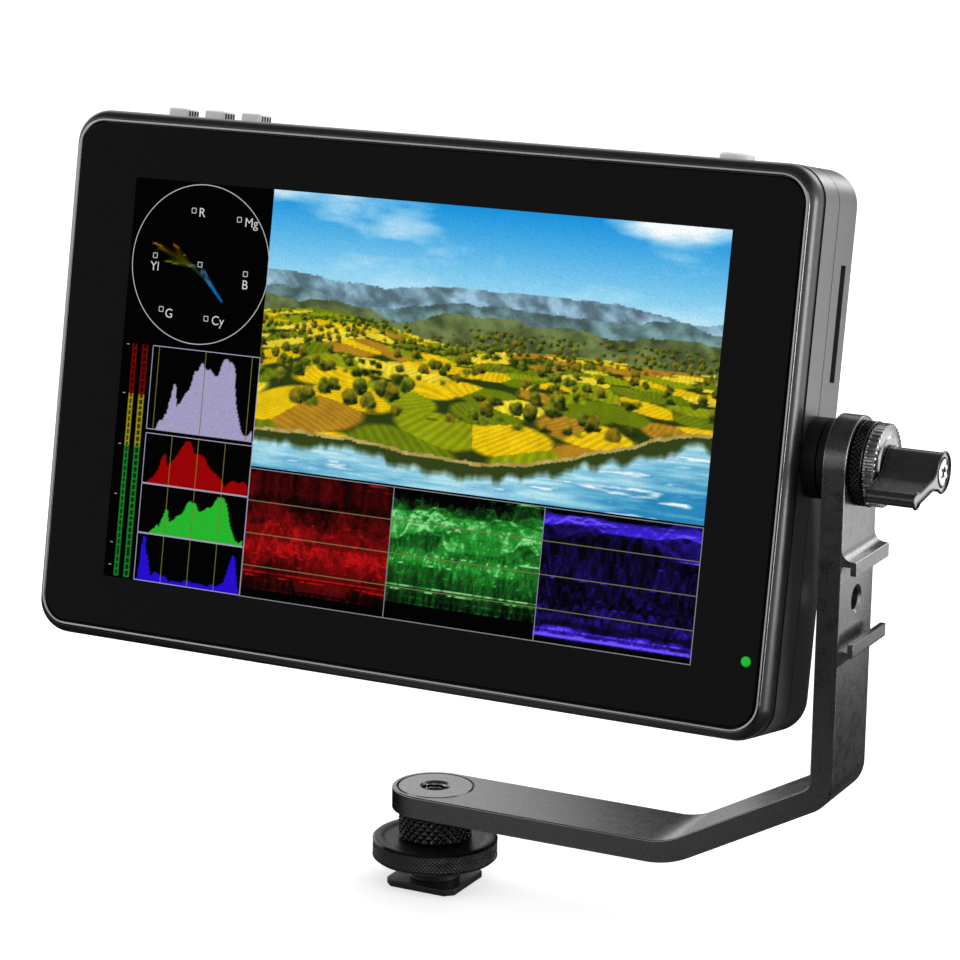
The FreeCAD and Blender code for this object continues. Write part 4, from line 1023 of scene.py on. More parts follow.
@dataclass
class TiltArm:
    """Bent bar with round ends, its accessory shoe, the threaded insert and the friction washer."""

    half_width: float = 10.25
    thickness: float = 5.3
    edge: float = 0.35
    bar_top: float = 23.5
    corner: float = 62.7
    reach: float = 97.0
    slope: float = math.radians(28.3)
    low_radius: float = 17.0
    high_radius: float = 2.7
    pivot: float = 113.4
    shoe_level: float = 83.2
    channel: float = 18.8
    lip_gap: float = 15.2
    channel_depth: float = 2.1
    lip: float = 1.3
    rail_wall: float = 1.3
    root: float = 2.4
    rail_edge: float = 0.5
    hole: float = 2.6
    hole_bevel: float = 0.6
    insert_hole: float = 9.22
    groove: float = 0.42
    groove_depth: float = 0.8
    stud_hole: float = 3.2
    margin: float = 0.2
    overcut: float = 1.0
    bevel_overcut: float = 0.4
    rail_break: float = 0.22
    insert_proud: float = 0.04
    insert_edge: float = 0.3
    insert_break: float = 0.06
    thread_lead: float = 0.5
    thread_end: float = 0.4
    thread_pitch: float = 1.27
    thread_depth: float = 0.3
    seat: Seat = Seat(ORIGIN)

    def build(self) -> None:
        """Make the pieces of the arm."""
        self.bar()
        self.rails()
        self.insert()
        self.washer()

    def outline(self, inset: float) -> tuple[Points, Points]:
        """Walk round the flat bar's outline: two long sides and two half circles, moved inward.

        Args:
            inset: Distance from the true outline.

        Returns:
            Distances along the bar and offsets across it.
        """
        path = self.path()
        side = path.stations()
        swing = np.linspace(-np.pi / 2.0, np.pi / 2.0, 28)[1:-1]
        radius = self.half_width - inset
        along = [side, path.length() + radius * np.cos(swing), side[::-1], -radius * np.cos(swing)]
        end, edge = radius * np.sin(swing), radius + 0.0 * side
        return np.concatenate(along), np.concatenate([-edge, end, edge, -end])

    def path(self) -> BentPath:
        """Give the path of the bar's inner face."""
        radii = (self.low_radius, self.high_radius)
        return BentPath(self.bar_top, self.corner, self.reach, self.slope, *radii, self.pivot)

    def bar(self) -> None:
        """Make the bar: loops of the flat outline at each depth, bent along the path."""
        upper = quarter_round(self.edge, 4)[::-1]
        lower = [(self.thickness - depth, inset) for depth, inset in upper[::-1]]
        flat = self.edge + self.margin
        rows = [(0.0, self.half_width), (0.0, flat), *upper, *lower]
        rows += [(self.thickness, flat), (self.thickness, self.half_width)]
        rings = []
        for depth, inset in rows:
            along, across = self.outline(inset)
            x, z = self.path().at(along, depth + 0.0 * along)
            rings.append(np.stack([x, across, z], axis=-1))
        bands = [Face.WIDE] * (len(rows) - 1)
        bands[len(rows) // 2 - 1] = Face.NARROW
        tag = Tag("tilt_arm", Slot.BLACK_METAL, ("tilt_arm",))
        surface, finishes = loft(np.stack(rings), bands), [ANODISED, BLASTED]
        solid("tilt_arm_bar", surface, self.seat, finishes, tag, 40.0, holes=self.holes())

    def holes(self) -> list[tuple[Surface, Seat]]:
        """Give the bevelled hole behind the shoe and the socket of the threaded insert.

        Returns:
            Surface and frame of each hole.
        """
        inside, outside = self.reach - self.overcut, self.reach + self.thickness
        past = outside + self.bevel_overcut
        profile = [
            (inside, 0.0),
            (inside, self.hole),
            (outside - self.hole_bevel, self.hole),
            (past, self.hole + self.hole_bevel + self.bevel_overcut),
            (past, 0.0),
        ]
        low, high = self.bar_top - self.thickness - self.overcut, self.bar_top + self.overcut
        return [
            (lathe(profile, Axis.X, 48), Seat((0.0, 0.0, self.shoe_level))),
            (plug(low, high, self.insert_hole, Axis.Z, 120), self.seat),
        ]

    def rails(self) -> None:
        """Make the accessory shoe: an L-shaped profile with a round root, carried along Y."""
        floor = self.reach + self.thickness
        shelf, crest = floor + self.channel_depth, floor + self.channel_depth + self.lip
        inner, mouth = self.channel / 2.0, self.lip_gap / 2.0
        back = inner + self.rail_wall
        swing = np.linspace(0.0, np.pi / 2.0, 7)
        nose_x = crest - self.rail_edge + self.rail_edge * np.cos(swing)
        nose_z = back - self.rail_edge + self.rail_edge * np.sin(swing)
        root_x = floor + self.root - self.root * np.sin(swing)
        root_z = back + self.root - self.root * np.cos(swing)
        x = np.concatenate([[floor - 0.1, shelf, shelf, crest], nose_x, root_x, [floor - 0.1]])
        z = np.concatenate([[inner, inner, mouth, mouth], nose_z, root_z, [back + self.root]])
        seat, tag = Seat((0.0, 0.0, self.shoe_level)), Tag("tilt_arm", Slot.BLACK_METAL)
        for name, sign in (("shoe_rail_upper", 1.0), ("shoe_rail_lower", -1.0)):
            loop = np.stack([x, 0.0 * x, sign * z], axis=-1)
            rings = [loop + np.array([0.0, side * self.half_width, 0.0]) for side in (-1.0, 1.0)]
            surface = loft(np.stack(rings))
            solid(name, surface, seat, [ANODISED], tag, 28.0, capped=True, edge=self.rail_break)

    def insert(self) -> None:
        """Make the threaded disc that is let into the bar's end."""
        low, high = node_span("arm_insert")
        radius, floor, top = high[0], low[2], high[2] + self.insert_proud
        thread_low, thread_high = floor + self.thread_end, top - self.thread_lead
        profile = [
            (floor, self.stud_hole + self.insert_edge),
            (floor, radius - self.insert_edge),
            (floor + self.insert_edge, radius),
            (top - self.groove_depth, radius),
            (top - self.groove_depth, radius - self.groove),
            (top - self.insert_break, radius - self.groove),
            (top, radius - self.groove - self.insert_break),
            (top, self.stud_hole + self.thread_lead),
            *fine_rows(thread_high, thread_low, self.stud_hole, 34),
            (floor, self.stud_hole + self.insert_edge),
        ]
        thread = Thread(self.thread_pitch, self.thread_depth, thread_low, thread_high)
        tag = Tag("tilt_arm", Slot.BLACK_METAL, ("arm_insert",))
        surface = lathe(profile, Axis.Z, 120, thread)
        solid("arm_insert_disc", surface, self.seat, [TURNED_INSERT], tag)

    def washer(self) -> None:
        """Make the friction washer beside the monitor."""
        seat = Seat((0.0, 0.0, self.pivot))
        tag = Tag("tilt_arm", Slot.BLACK_PLASTIC, ("friction_washer",))
        solid("friction_washer_disc", disc_ring("friction_washer"), seat, [MATT_BLACK], tag)


def cap_ends(mesh: bpy.types.Mesh) -> None:
    """Close the open ends of a carried profile with one face each."""
    work = bmesh.new()
    work.from_mesh(mesh)
    bmesh.ops.holes_fill(work, edges=[edge for edge in work.edges if edge.is_boundary], sides=0)
    work.to_mesh(mesh)
    work.free()


def disc_ring(node: str, hole: float = 3.4, edge: float = 0.3) -> Surface:
    """Turn a plain disc with broken edges in place of a CAD node round the pivot.

    Args:
        node: Name of the node that gives the radius and both faces.
        hole: Radius of its hole.
        edge: Width of the broken edges.

    Returns:
        The disc's surface, round X.
    """
    low, high = node_span(node)
    start, end, radius = low[0], high[0], (high[1] - low[1]) / 2.0
    profile = [
        (start, hole),
        (start, radius - edge),
        (start + 0.3 * edge, radius - 0.3 * edge),
        (start + edge, radius),
        (end - edge, radius),
        (end - 0.3 * edge, radius - 0.3 * edge),
        (end, radius - edge),
        (end, hole),
        (start, hole),
    ]
    return lathe(profile, Axis.X, 96)


# ---------------------------------------------------------------- clamp


@dataclass
class PivotClamp:
    """Knurled collar, clamp screw with its ribbed head, lever with one wing, and the cap screw."""

    pivot: float = 113.4
    collar_knurl: float = 1.1
    collar_depth: float = 0.32
    collar_edge: float = 0.35
    shaft: float = 3.175
    shaft_edge: float = 0.4
    rib_count: int = 42
    rib_depth: float = 0.8
    head_start: float = 105.5
    head_end: float = 108.2
    head_radius: float = 9.1
    head_lead: float = 0.15
    head_inner_edge: float = 0.5
    head_outer_edge: float = 0.6
    boss_root: float = 0.3
    boss_end: float = 108.5
    boss_radius: float = 6.2
    spindle_end: float = 118.4
    spindle_radius: float = 2.0
    lever_turn: float = 13.5
    lever_start: float = 108.7
    lever_end: float = 120.9
    hub: float = 4.65
    pocket: float = 3.35
    pocket_floor: float = 113.5
    pocket_lead: float = 0.3
    pocket_flare: float = 0.8
    cut_before: float = 1.0
    cut_past: float = 0.5
    blade: float = 1.4
    reach: float = 14.6
    ridge: float = 1.95
    hub_root: float = 5.0
    ridge_root: float = 1.0
    end_slope: float = 0.085
    lever_edge: float = 0.4
    play: float = 0.08
    end_facing: float = 0.85
    cap_shank: float = 1.2
    cap_foot: float = 0.2
    cap_edge: float = 0.3
    cap_round: float = 0.09
    socket: float = 0.95
    socket_flare: float = 0.25
    socket_lead: float = 0.15
    socket_depth: float = 1.5
    socket_point: float = 1.8

    def build(self) -> None:
        """Make the pieces of the clamp."""
        seat = Seat((0.0, 0.0, self.pivot))
        self.collar(seat)
        self.screw(seat)
        self.lever()
        self.cap(seat)

    def collar(self, seat: Seat) -> None:
        """Make the knurled collar beside the arm.

        Args:
            seat: Frame on the pivot axis.
        """
        low, high = node_span("clamp_collar")
        start, end, radius = low[0], high[0], (high[1] - low[1]) / 2.0
        edge = self.collar_edge
        profile = [
            (start, self.shaft),
            (start, radius - edge),
            *fine_rows(start + edge, end - edge, radius, 24),
            (end, radius - edge),
            (end, self.shaft),
            (start, self.shaft),
        ]
        count = round(2.0 * math.pi * radius / self.collar_knurl)
        knurl = DiamondKnurl(count, self.collar_knurl, self.collar_depth, start + edge, end - edge)
        surface = lathe(profile, Axis.X, count * 8, knurl)
        tag = Tag("clamp_screw", Slot.BLACK_METAL, ("clamp_collar",))
        solid("clamp_collar_knurled", surface, seat, [NUT_BLACK], tag, 50.0)

    def screw(self, seat: Seat) -> None:
        """Make the clamp screw: shaft, ribbed head, boss and spindle in one turned piece.

        Args:
            seat: Frame on the pivot axis.
        """
        low, _ = node_span("clamp_screw")
        first, last = self.head_start + self.head_lead, self.head_end - self.head_lead
        profile = [
            (low[0], 0.0),
            (low[0], self.shaft - self.shaft_edge),
            (low[0] + self.shaft_edge, self.shaft),
            (self.head_start, self.shaft),
            (self.head_start, self.head_radius - self.head_inner_edge),
            *fine_rows(first, last, self.head_radius, 15),
            (self.head_end, self.head_radius - self.head_outer_edge),
            (self.head_end, self.boss_radius + self.boss_root),
            (self.boss_end, self.boss_radius),
            (self.boss_end, self.spindle_radius),
            (self.spindle_end, self.spindle_radius),
            (self.spindle_end, 0.0),
        ]
        ribs = Ribs(self.rib_count, self.rib_depth, self.head_start, self.head_end)
        surface = lathe(profile, Axis.X, self.rib_count * 12, ribs)
        tag = Tag("clamp_screw", Slot.BLACK_METAL, ("clamp_screw",))
        turned = TurnedFinish(
            "turned_head", (0.72, 0.72, 0.725), 1.0, 0.27, 0.5, 0.12, 0.002, 0.15, 0.05,
            centre=(0.0, 0.0, self.pivot), round_x=True,
        )
        solid("clamp_screw_ribbed", surface, seat, [turned], tag, sharp=44.0)

    def lever_loop(self, inset: float) -> Points:
        """Walk round the lever's section: hub, fillet, blade, fillet and ridge as tangent arcs.

        Args:
            inset: Distance that the loop is moved inward.

        Returns:
            Loop of points across the pivot axis, shaped (count, 2).
        """
        root_z = self.blade + self.hub_root
        root_y = -math.sqrt((self.hub + self.hub_root) ** 2 - root_z**2)
        tip_z = self.blade + self.ridge_root
        tip_y = -self.reach + math.sqrt((self.ridge + self.ridge_root) ** 2 - tip_z**2)
        hub_turn = math.atan2(root_z, root_y)
        tip_turn = math.atan2(tip_z, tip_y + self.reach)
        hub_angle = np.linspace(0.0, hub_turn, 30)
        root_angle = np.linspace(hub_turn - math.pi, -math.pi / 2.0, 9)
        tip_angle = np.linspace(-math.pi / 2.0, tip_turn - math.pi, 9)
        ridge_angle = np.linspace(tip_turn, math.pi, 16)
        hub_radius, ridge_radius = self.hub - inset, self.ridge - inset
        root_radius, tip_radius = self.hub_root + inset, self.ridge_root + inset
        arcs = (
            (0.0, 0.0, hub_radius, hub_angle),
            (root_y, root_z, root_radius, root_angle),
            (tip_y, tip_z, tip_radius, tip_angle),
            (-self.reach, 0.0, ridge_radius, ridge_angle),
        )
        y = np.concatenate([middle + radius * np.cos(angle) for middle, _, radius, angle in arcs])
        z = np.concatenate([middle + radius * np.sin(angle) for _, middle, radius, angle in arcs])
        upper = np.stack([y, z], axis=-1)
        lower = upper[1:-1][::-1] * np.array([1.0, -1.0])
        return np.concatenate([upper, lower])

    def lever(self) -> None:
        """Make the lever: its section carried along the axis, with round ends and a pocket."""
        rows = quarter_round(self.lever_edge, 5)
        rings = []
        for setback, inset in rows:
            y, z = self.lever_loop(inset).T
            slant = self.end_slope * np.maximum(0.0, -y - self.hub)
            rings.append(np.stack([self.lever_end - setback - slant, y, z], axis=-1))
        for setback, inset in rows[::-1]:
            y, z = self.lever_loop(inset).T
            rings.append(np.stack([self.lever_start + setback + 0.0 * y, y, z], axis=-1))
        before, past = self.lever_start - self.cut_before, self.lever_end + self.cut_past
        bore_radius = self.spindle_radius + self.play
        pocket = [
            (before, 0.0),
            (before, bore_radius),
            (self.pocket_floor, bore_radius),
            (self.pocket_floor, self.pocket),
            (self.lever_end - self.pocket_lead, self.pocket),
            (past, self.pocket + self.pocket_flare),
            (past, 0.0),
        ]
        seat = Seat((0.0, 0.0, self.pivot), self.lever_turn)
        solid(
            "clamp_lever_wing",
            loft(np.stack(rings)),
            seat,
            [LEVER],
            Tag("clamp_lever", Slot.BLACK_METAL, ("clamp_lever",)),
            40.0,
            capped=True,
            holes=[(lathe(pocket, Axis.X, 64), seat)],
            touch=self.brighten_end,
        )

    def brighten_end(self, mesh: bpy.types.Mesh) -> None:
        """Give the lever's outer end its bare turned finish: the faces that look along the axis.

        Args:
            mesh: The lever's mesh, in place.
        """
        count = len(mesh.polygons)
        normal, centre = np.empty(3 * count), np.empty(3 * count)
        mesh.polygons.foreach_get("normal", normal)
        mesh.polygons.foreach_get("center", centre)
        slant = self.end_slope * self.reach + self.lever_edge
        outer = centre[::3] / MM > self.lever_end - slant
        ends = (normal[::3] > self.end_facing) & outer
        mesh.materials.append(HUB_END.material())
        mesh.polygons.foreach_set("material_index", ends.astype(np.int32))

    def cap(self, seat: Seat) -> None:
        """Make the bright cap screw with its six-sided socket.

        Args:
            seat: Frame on the pivot axis.
        """
        low, high = node_span("cap_screw")
        start, end, radius = low[0], high[0], (high[1] - low[1]) / 2.0
        profile = [
            (start, 0.0),
            (start, self.cap_shank),
            (self.spindle_end, self.cap_shank),
            (self.spindle_end, radius - self.cap_foot),
            (self.spindle_end + self.cap_foot, radius),
            (end - self.cap_edge, radius),
            (end - self.cap_round, radius - self.cap_round),
            (end, radius - self.cap_edge),
            (end, self.socket + self.socket_flare),
            (end - self.socket_lead, self.socket, 6),
            (end - self.socket_depth, self.socket, 6),
            (end - self.socket_point, 0.0),
        ]
        tag = Tag("clamp_screw", Slot.CHROME, ("cap_screw",))
        solid("cap_screw_bright", lathe(profile, Axis.X, 72), seat, [CHROME], tag)


# ---------------------------------------------------------------- housing


@dataclass
class Housing:
    """Front bezel with its bright rim, glass, status light, frame, rear cover and pivot flange."""

    seat: Seat
    half_width: float = 93.7
    half_height: float = 62.3
    corner: float = 8.0
    front: float = -14.0
    bezel_back: float = -8.3
    parting: float = 0.2
    front_round: float = 2.0
    round_depth: float = 3.6
    back_round: float = 0.6
    back_depth: float = 1.4
    bead: float = 0.42
    bead_height: float = 0.16
    rim_half_width: float = 91.4
    rim_half_height: float = 59.5
    rim_corner: float = 6.1
    glass_gap: float = 0.2
    glass_thickness: float = 1.1
    glass_edge: tuple[tuple[float, float], ...] = (
        (0.5, 0.0), (0.25, 0.0), (0.07, 0.07), (0.0, 0.25)
    )
    led_across: float = 88.1
    led_rise: float = -44.5
    led_radius: float = 1.3
    led_dome: float = 0.22
    led_depth: float = 0.4
    led_core: Colour = (0.08, 0.70, 0.14)
    led_rim: Colour = (0.01, 0.26, 0.05)
    crest_drop: float = 0.1
    bead_drop: float = 0.12
    ledge: float = 3.0
    ledge_gap: float = 0.2
    seam_half: float = 0.11
    seam_depth: float = 0.2
    seam_proud: float = 0.02
    seam_reach: float = 3.0
    seam_gap: float = 0.05
    pivot: float = 113.4

    def build(self) -> None:
        """Make the pieces of the housing."""
        self.bezel()
        self.rim()
        self.glass()
        self.led()
        self.seams()
        smooth_copy("middle_frame", HOUSING, Tag("monitor", Slot.HOUSING))
        smooth_copy("rear_cover", HOUSING, Tag("monitor", Slot.HOUSING))
        flange = disc_ring("pivot_flange")
        tag = Tag("monitor", Slot.BLACK_METAL, ("pivot_flange",))
        solid("pivot_flange_disc", flange, Seat((0.0, 0.0, self.pivot)), [MATT_BLACK], tag)

    def bezel(self) -> None:
        """Make the bezel: round-cornered loops that shrink along a quarter ellipse to each end."""
        crest = self.front + self.crest_drop
        full_back, full_front = self.bezel_back - self.back_depth, crest + self.round_depth
        rows = []
        for t in np.linspace(np.pi / 2.0, 0.0, 6):
            inset = self.back_round * (1.0 - math.cos(t))
            rows.append((*self.inset(inset), full_back + self.back_depth * math.sin(t)))
        for t in np.linspace(0.0, np.pi / 2.0, 14):
            inset = self.front_round * (1.0 - math.cos(t))
            rows.append((*self.inset(inset), full_front - self.round_depth * math.sin(t)))
        inner = (self.rim_half_width, self.rim_half_height, self.rim_corner)
        ledge = tuple(size - self.ledge for size in inner)
        floor = self.front + self.glass_thickness + self.ledge_gap
        rows += [(*inner, crest), (*inner, floor)]
        rows += [(*ledge, floor), (*ledge, self.bezel_back), rows[0]]
        tag = Tag("monitor", Slot.HOUSING, ("front_bezel",))
        solid("front_bezel_shell", frame_loft(rows), self.seat, [BEZEL], tag, sharp=40.0)

    def inset(self, amount: float) -> tuple[float, float, float]:
        """Give the half width, half height and corner of the housing's outline, moved inward."""
        return self.half_width - amount, self.half_height - amount, self.corner - amount

    def rim(self) -> None:
        """Make the bright rim: a thin round bead carried along the opening's edge."""
        inner = (self.rim_half_width, self.rim_half_height, self.rim_corner)
        rows = []
        for t in np.linspace(0.0, 2.0 * np.pi, 13):
            out = self.bead * math.cos(t)
            depth = self.front + self.bead_drop - self.bead_height * math.sin(t)
            rows.append((*(size + self.bead + out for size in inner), depth))
        solid("bright_rim", frame_loft(rows), self.seat, [POLISHED], Tag("monitor", Slot.BRIGHT))

    def glass(self) -> None:
        """Make the cover glass: a flat plate with broken edges."""
        width, height = self.rim_half_width - self.glass_gap, self.rim_half_height - self.glass_gap
        corner, back = self.rim_corner - self.glass_gap, self.front + self.glass_thickness
        rows = [(0.0, 0.0, 0.0, self.front)]
        for inset, depth in self.glass_edge:
            rows.append((width - inset, height - inset, corner - inset, self.front + depth))
        rows += [(width, height, corner, back), (0.0, 0.0, 0.0, back)]
        tag = Tag("monitor", Slot.GLASS, ("cover_glass",))
        solid("cover_glass_plate", frame_loft(rows), self.seat, [GLASS], tag)

    def led(self) -> None:
        """Make the status light: a small domed lamp that shows through the glass."""
        turn = np.linspace(0.0, 2.0 * np.pi, 40, endpoint=False)[None, :]
        swing = np.linspace(0.0, np.pi / 2.0, 8)[:, None]
        radius = self.led_radius * np.sin(swing)
        depth = self.front + self.crest_drop - self.led_dome * np.cos(swing) + 0.0 * turn
        across, rise = radius * np.cos(turn), radius * np.sin(turn)
        dome = np.stack([self.led_across + across, depth, self.led_rise + rise], axis=-1)
        back = np.stack([dome[-1], dome[-1]])
        back[:, :, 1] = self.front + self.led_depth
        back[1, :, 0], back[1, :, 2] = self.led_across, self.led_rise
        surface = loft(np.concatenate([dome, back]))
        made = raw_object("status_lamp", surface, self.seat)
        centre = np.array([self.led_across, self.led_rise])
        away = np.linalg.norm(surface.points[:, [0, 2]] - centre, axis=1) / self.led_radius
        core, edge = np.array([linear(self.led_core), linear(self.led_rim)])
        paint(made.data, core + (edge - core) * np.clip(away * 4.0 - 3.0, 0.0, 1.0)[:, None])
        made.data.materials.append(LED_GLOW.material())
        finish_mesh(made.data, 60.0)
        enter(made, Tag("monitor", Slot.LED, ("status_led",)))

    def seams(self) -> None:
        """Make the two parting lines: thin bands round the housing, dark as painted shade."""
        half, out, deep = self.seam_half, self.inset(-self.seam_proud), self.inset(self.seam_depth)
        section = ((out, -half), (out, half), (deep, half), (deep, -half), (out, -half))
        for name, depth in (("front_seam", self.bezel_back), ("rear_seam", self.parting)):
            surface = frame_loft([(*outline, depth + step) for outline, step in section])
            tag = Tag("monitor", Slot.HOUSING)
            # The bands' dark colour is painted shade in the gaps between bezel, frame and cover.
            solid(name, surface, self.seat, [SEAM_SHADE], tag, holes=[self.insert_hole()])

    def insert_hole(self) -> tuple[Surface, Seat]:
        """Give the cylinder that keeps a parting line off the left insert.

        Returns:
            Its surface and frame.
        """
        low, high = node_span("left_insert")
        middle, radius = (low + high) / 2.0, (high[2] - low[2]) / 2.0 + self.seam_gap
        surface = plug(low[0] - self.seam_reach, low[0] + self.seam_reach, radius, Axis.X, 64)
        return surface, Seat((0.0, middle[1], middle[2]))


def paint(mesh: bpy.types.Mesh, light: Points) -> None:
    """Store one linear colour per point, shaped (points, 4), for the lit finishes."""
    layer = mesh.color_attributes.new(LIGHT_LAYER, "FLOAT_COLOR", "POINT")
    layer.data.foreach_set("color", light.astype(np.float32).ravel())


# ---------------------------------------------------------------- screen


LUMA = np.array([0.2126, 0.7152, 0.0722])
BLUE_SPAN = 1.8556
RED_SPAN = 1.5748
GREEN_BY_BLUE = -0.1873
GREEN_BY_RED = -0.4681
QUARTERS = (0.25, 0.5, 0.75)
PICTURE_SIZE = (113.4, 63.8)
BLANK = 0.006
LATTICE = 128
SPOTS = 64
CROPS = np.array(
    [
        [0.90, 0.75, 0.06],
        [0.55, 0.60, 0.06],
        [0.93, 0.83, 0.20],
        [0.42, 0.49, 0.06],
        [0.68, 0.50, 0.12],
    ]
)


def lattice_noise(x: Points, z: Points, cell: float, seed: int) -> Points:
    """Blend seeded random values on a square lattice by a smooth step.

    Args:
        x: First coordinates.
        z: Second coordinates.
        cell: Size of one lattice cell.
        seed: Seed of the values.

    Returns:
        Values from 0 to 1.
    """
    table = np.random.default_rng(seed).random((LATTICE, LATTICE))
    column, row = np.floor(x / cell).astype(int), np.floor(z / cell).astype(int)
    u, v = x / cell - column, z / cell - row
    u, v = u * u * (3.0 - 2.0 * u), v * v * (3.0 - 2.0 * v)
    left, right = column % LATTICE, (column + 1) % LATTICE
    rows = (row % LATTICE, (row + 1) % LATTICE)
    low, high = (table[line, left] * (1.0 - u) + table[line, right] * u for line in rows)
    return low * (1.0 - v) + high * v


def rough_noise(x: Points, z: Points, cell: float, seed: int, octaves: int = 4) -> Points:
    """Add lattice noises of halving size and strength.

    Args:
        x: First coordinates.
        z: Second coordinates.
        cell: Size of the largest cells.
        seed: Seed of the values.
        octaves: Number of noises.

    Returns:
        Values from 0 to 1.
    """
    weights = 0.5 ** np.arange(octaves)
    layers = [w * lattice_noise(x, z, cell * w, seed + n) for n, w in enumerate(weights)]
    return np.sum(layers, axis=0) / weights.sum()


def nearest_spot(x: Points, z: Points, cell: float, seed: int) -> tuple[Points, Points, Points]:
    """Find the nearest of seeded spots, one at a random place in each cell of a lattice.

    Args:
        x: First coordinates.
        z: Second coordinates.
        cell: Size of one lattice cell.
        seed: Seed of the places.

    Returns:
        Offset from that spot along both coordinates, in cells, and the spot's own random value.
    """
    table = np.random.default_rng(seed).random((SPOTS, SPOTS, 3))
    column, row = np.floor(x / cell).astype(int), np.floor(z / cell).astype(int)
    best = np.full(x.shape, np.inf)
    across, rise, pick = np.zeros_like(x), np.zeros_like(x), np.zeros_like(x)
    for step in range(9):
        over, up = column + step % 3 - 1, row + step // 3 - 1
        spot = table[up % SPOTS, over % SPOTS]
        off_x, off_z = x / cell - over - spot[..., 0], z / cell - up - spot[..., 1]
        nearer = np.hypot(off_x, off_z) < best
        best = np.where(nearer, np.hypot(off_x, off_z), best)
        across, rise = np.where(nearer, off_x, across), np.where(nearer, off_z, rise)
        pick = np.where(nearer, spot[..., 2], pick)
    return across, rise, pick


def mix(first: Points | Colour, second: Points | Colour, share: Points) -> Points:
    """Blend two colours.

    Args:
        first: Colour at share 0.
        second: Colour at share 1.
        share: Shares, without the colour axis.

    Returns:
        Blended colours.
    """
    share = np.clip(share, 0.0, 1.0)[..., None]
    return np.asarray(first) * (1.0 - share) + np.asarray(second) * share


def landscape(u: Points, v: Points) -> Points:
    """Paint an open valley: clouds, hazy ridges, a patchwork of fields, trees and a blue inlet.

    Args:
        u: Places across the picture, from 0 to 1.
        v: Places up the picture, from 0 to 1.

    Returns:
        Display colours.
    """
    x, z = u * PICTURE_SIZE[0], v * PICTURE_SIZE[1]
    colour = mix((0.76, 0.93, 0.98), (0.10, 0.57, 0.86), (v - 0.60) / 0.40)
    cloud = rough_noise(x * 0.5, z * 1.6, 17.0, 11, 6)
    aloft = np.clip((v - 0.62) * 6.0, 0.0, 1.0)
    colour = mix(colour, (0.97, 0.985, 0.99), (cloud - 0.50) * 4.0 * aloft)
    ridges = (
        (0.70, 0.16, 36.0, (0.55, 0.70, 0.78)),
        (0.645, 0.13, 26.0, (0.44, 0.57, 0.58)),
        (0.60, 0.10, 18.0, (0.40, 0.46, 0.27)),
    )
    for number, (level, height, cell, tint) in enumerate(ridges):
        seed = 21 + 10 * number
        crest = level + height * (rough_noise(x, 0.0 * z, cell, seed, 6) - 0.5)
        fold = rough_noise(x * 1.3 + z * 1.1, z * 1.4 - x * 0.4, 5.0, seed + 6, 5)
        face = mix(np.array(tint) * 0.62, np.array(tint) * 1.12, fold * 2.4 - 0.7)
        colour = np.where((v < crest)[..., None], face, colour)
    return shore_and_water(u, v, trees(u, v, fields(u, v, colour)))


def fields(u: Points, v: Points, colour: Points) -> Points:
    """Lay a patchwork of fields that shrink towards the skyline, with furrows and hedges.

    Args:
        u: Places across the picture.
        v: Places up the picture.
        colour: Display colours so far.

    Returns:
        Display colours with the fields.
    """
    top = 0.535 + 0.035 * np.sin(5.0 * u + 1.1) + 0.02 * np.sin(11.0 * u)
    away = 1.0 / (np.clip(top - v, 0.0, 1.0) + 0.16)
    across, depth = (u - 0.45) * away * 3.0, away * 2.2
    off_x, off_z, pick = nearest_spot(across + 40.0, depth + 40.0, 1.0, 43)
    ground = CROPS[np.minimum((pick * len(CROPS)).astype(int), len(CROPS) - 1)]
    furrow = 0.5 + 0.5 * np.sin((across + depth * (pick - 0.5) * 3.0) * 42.0)
    x, z = u * PICTURE_SIZE[0], v * PICTURE_SIZE[1]
    ground = ground * (0.80 + 0.16 * furrow + 0.22 * rough_noise(x, z, 2.2, 45, 4))[..., None]
    ground = mix(ground, (0.17, 0.23, 0.07), (np.hypot(off_x, off_z) - 0.60) * 9.0)
    return np.where((v < top)[..., None], ground, colour)


def trees(u: Points, v: Points, colour: Points) -> Points:
    """Set round trees in clumps, larger towards the front: lit above, dark below, with a shadow.

    Args:
        u: Places across the picture.
        v: Places up the picture.
        colour: Display colours so far.

    Returns:
        Display colours with the trees.
    """
    x, z = u * PICTURE_SIZE[0], v * PICTURE_SIZE[1]
    clump = rough_noise(x, z * 2.5, 15.0, 71, 3)
    sizes = ((1.5, 0.47, 0.58, 51), (2.5, 0.37, 0.50, 53), (4.2, 0.24, 0.40, 55))
    for cell, low, high, seed in sizes:
        across, rise, pick = nearest_spot(x, z, cell, seed)
        band = np.clip((v - low) * 40.0, 0.0, 1.0) * np.clip((high - v) * 40.0, 0.0, 1.0)
        stands = band * np.clip((clump + 0.30 * pick - 0.62) * 12.0, 0.0, 1.0)
        shade = np.hypot((across - 0.22) / 0.55, (rise + 0.30) / 0.16)
        colour = mix(colour, (0.14, 0.18, 0.07), (1.0 - shade) * 5.0 * stands * 0.8)
        ragged = 0.42 + 0.16 * pick + 0.22 * (rough_noise(x, z, cell * 0.35, seed + 20, 3) - 0.5)
        crown = (ragged - np.hypot(across * 1.05, rise)) * 9.0
        light = 0.45 + 0.9 * rise - 0.5 * across
        light = light + 0.9 * (rough_noise(x, z, cell * 0.22, seed + 30, 2) - 0.5)
        leaf = mix((0.07, 0.13, 0.04), (0.56, 0.58, 0.13), light)
        leaf = mix(leaf, (0.62, 0.44, 0.10), (pick - 0.72) * 3.0 * np.clip(light, 0.0, 1.0))
        colour = mix(colour, leaf, crown * stands)
    return colour


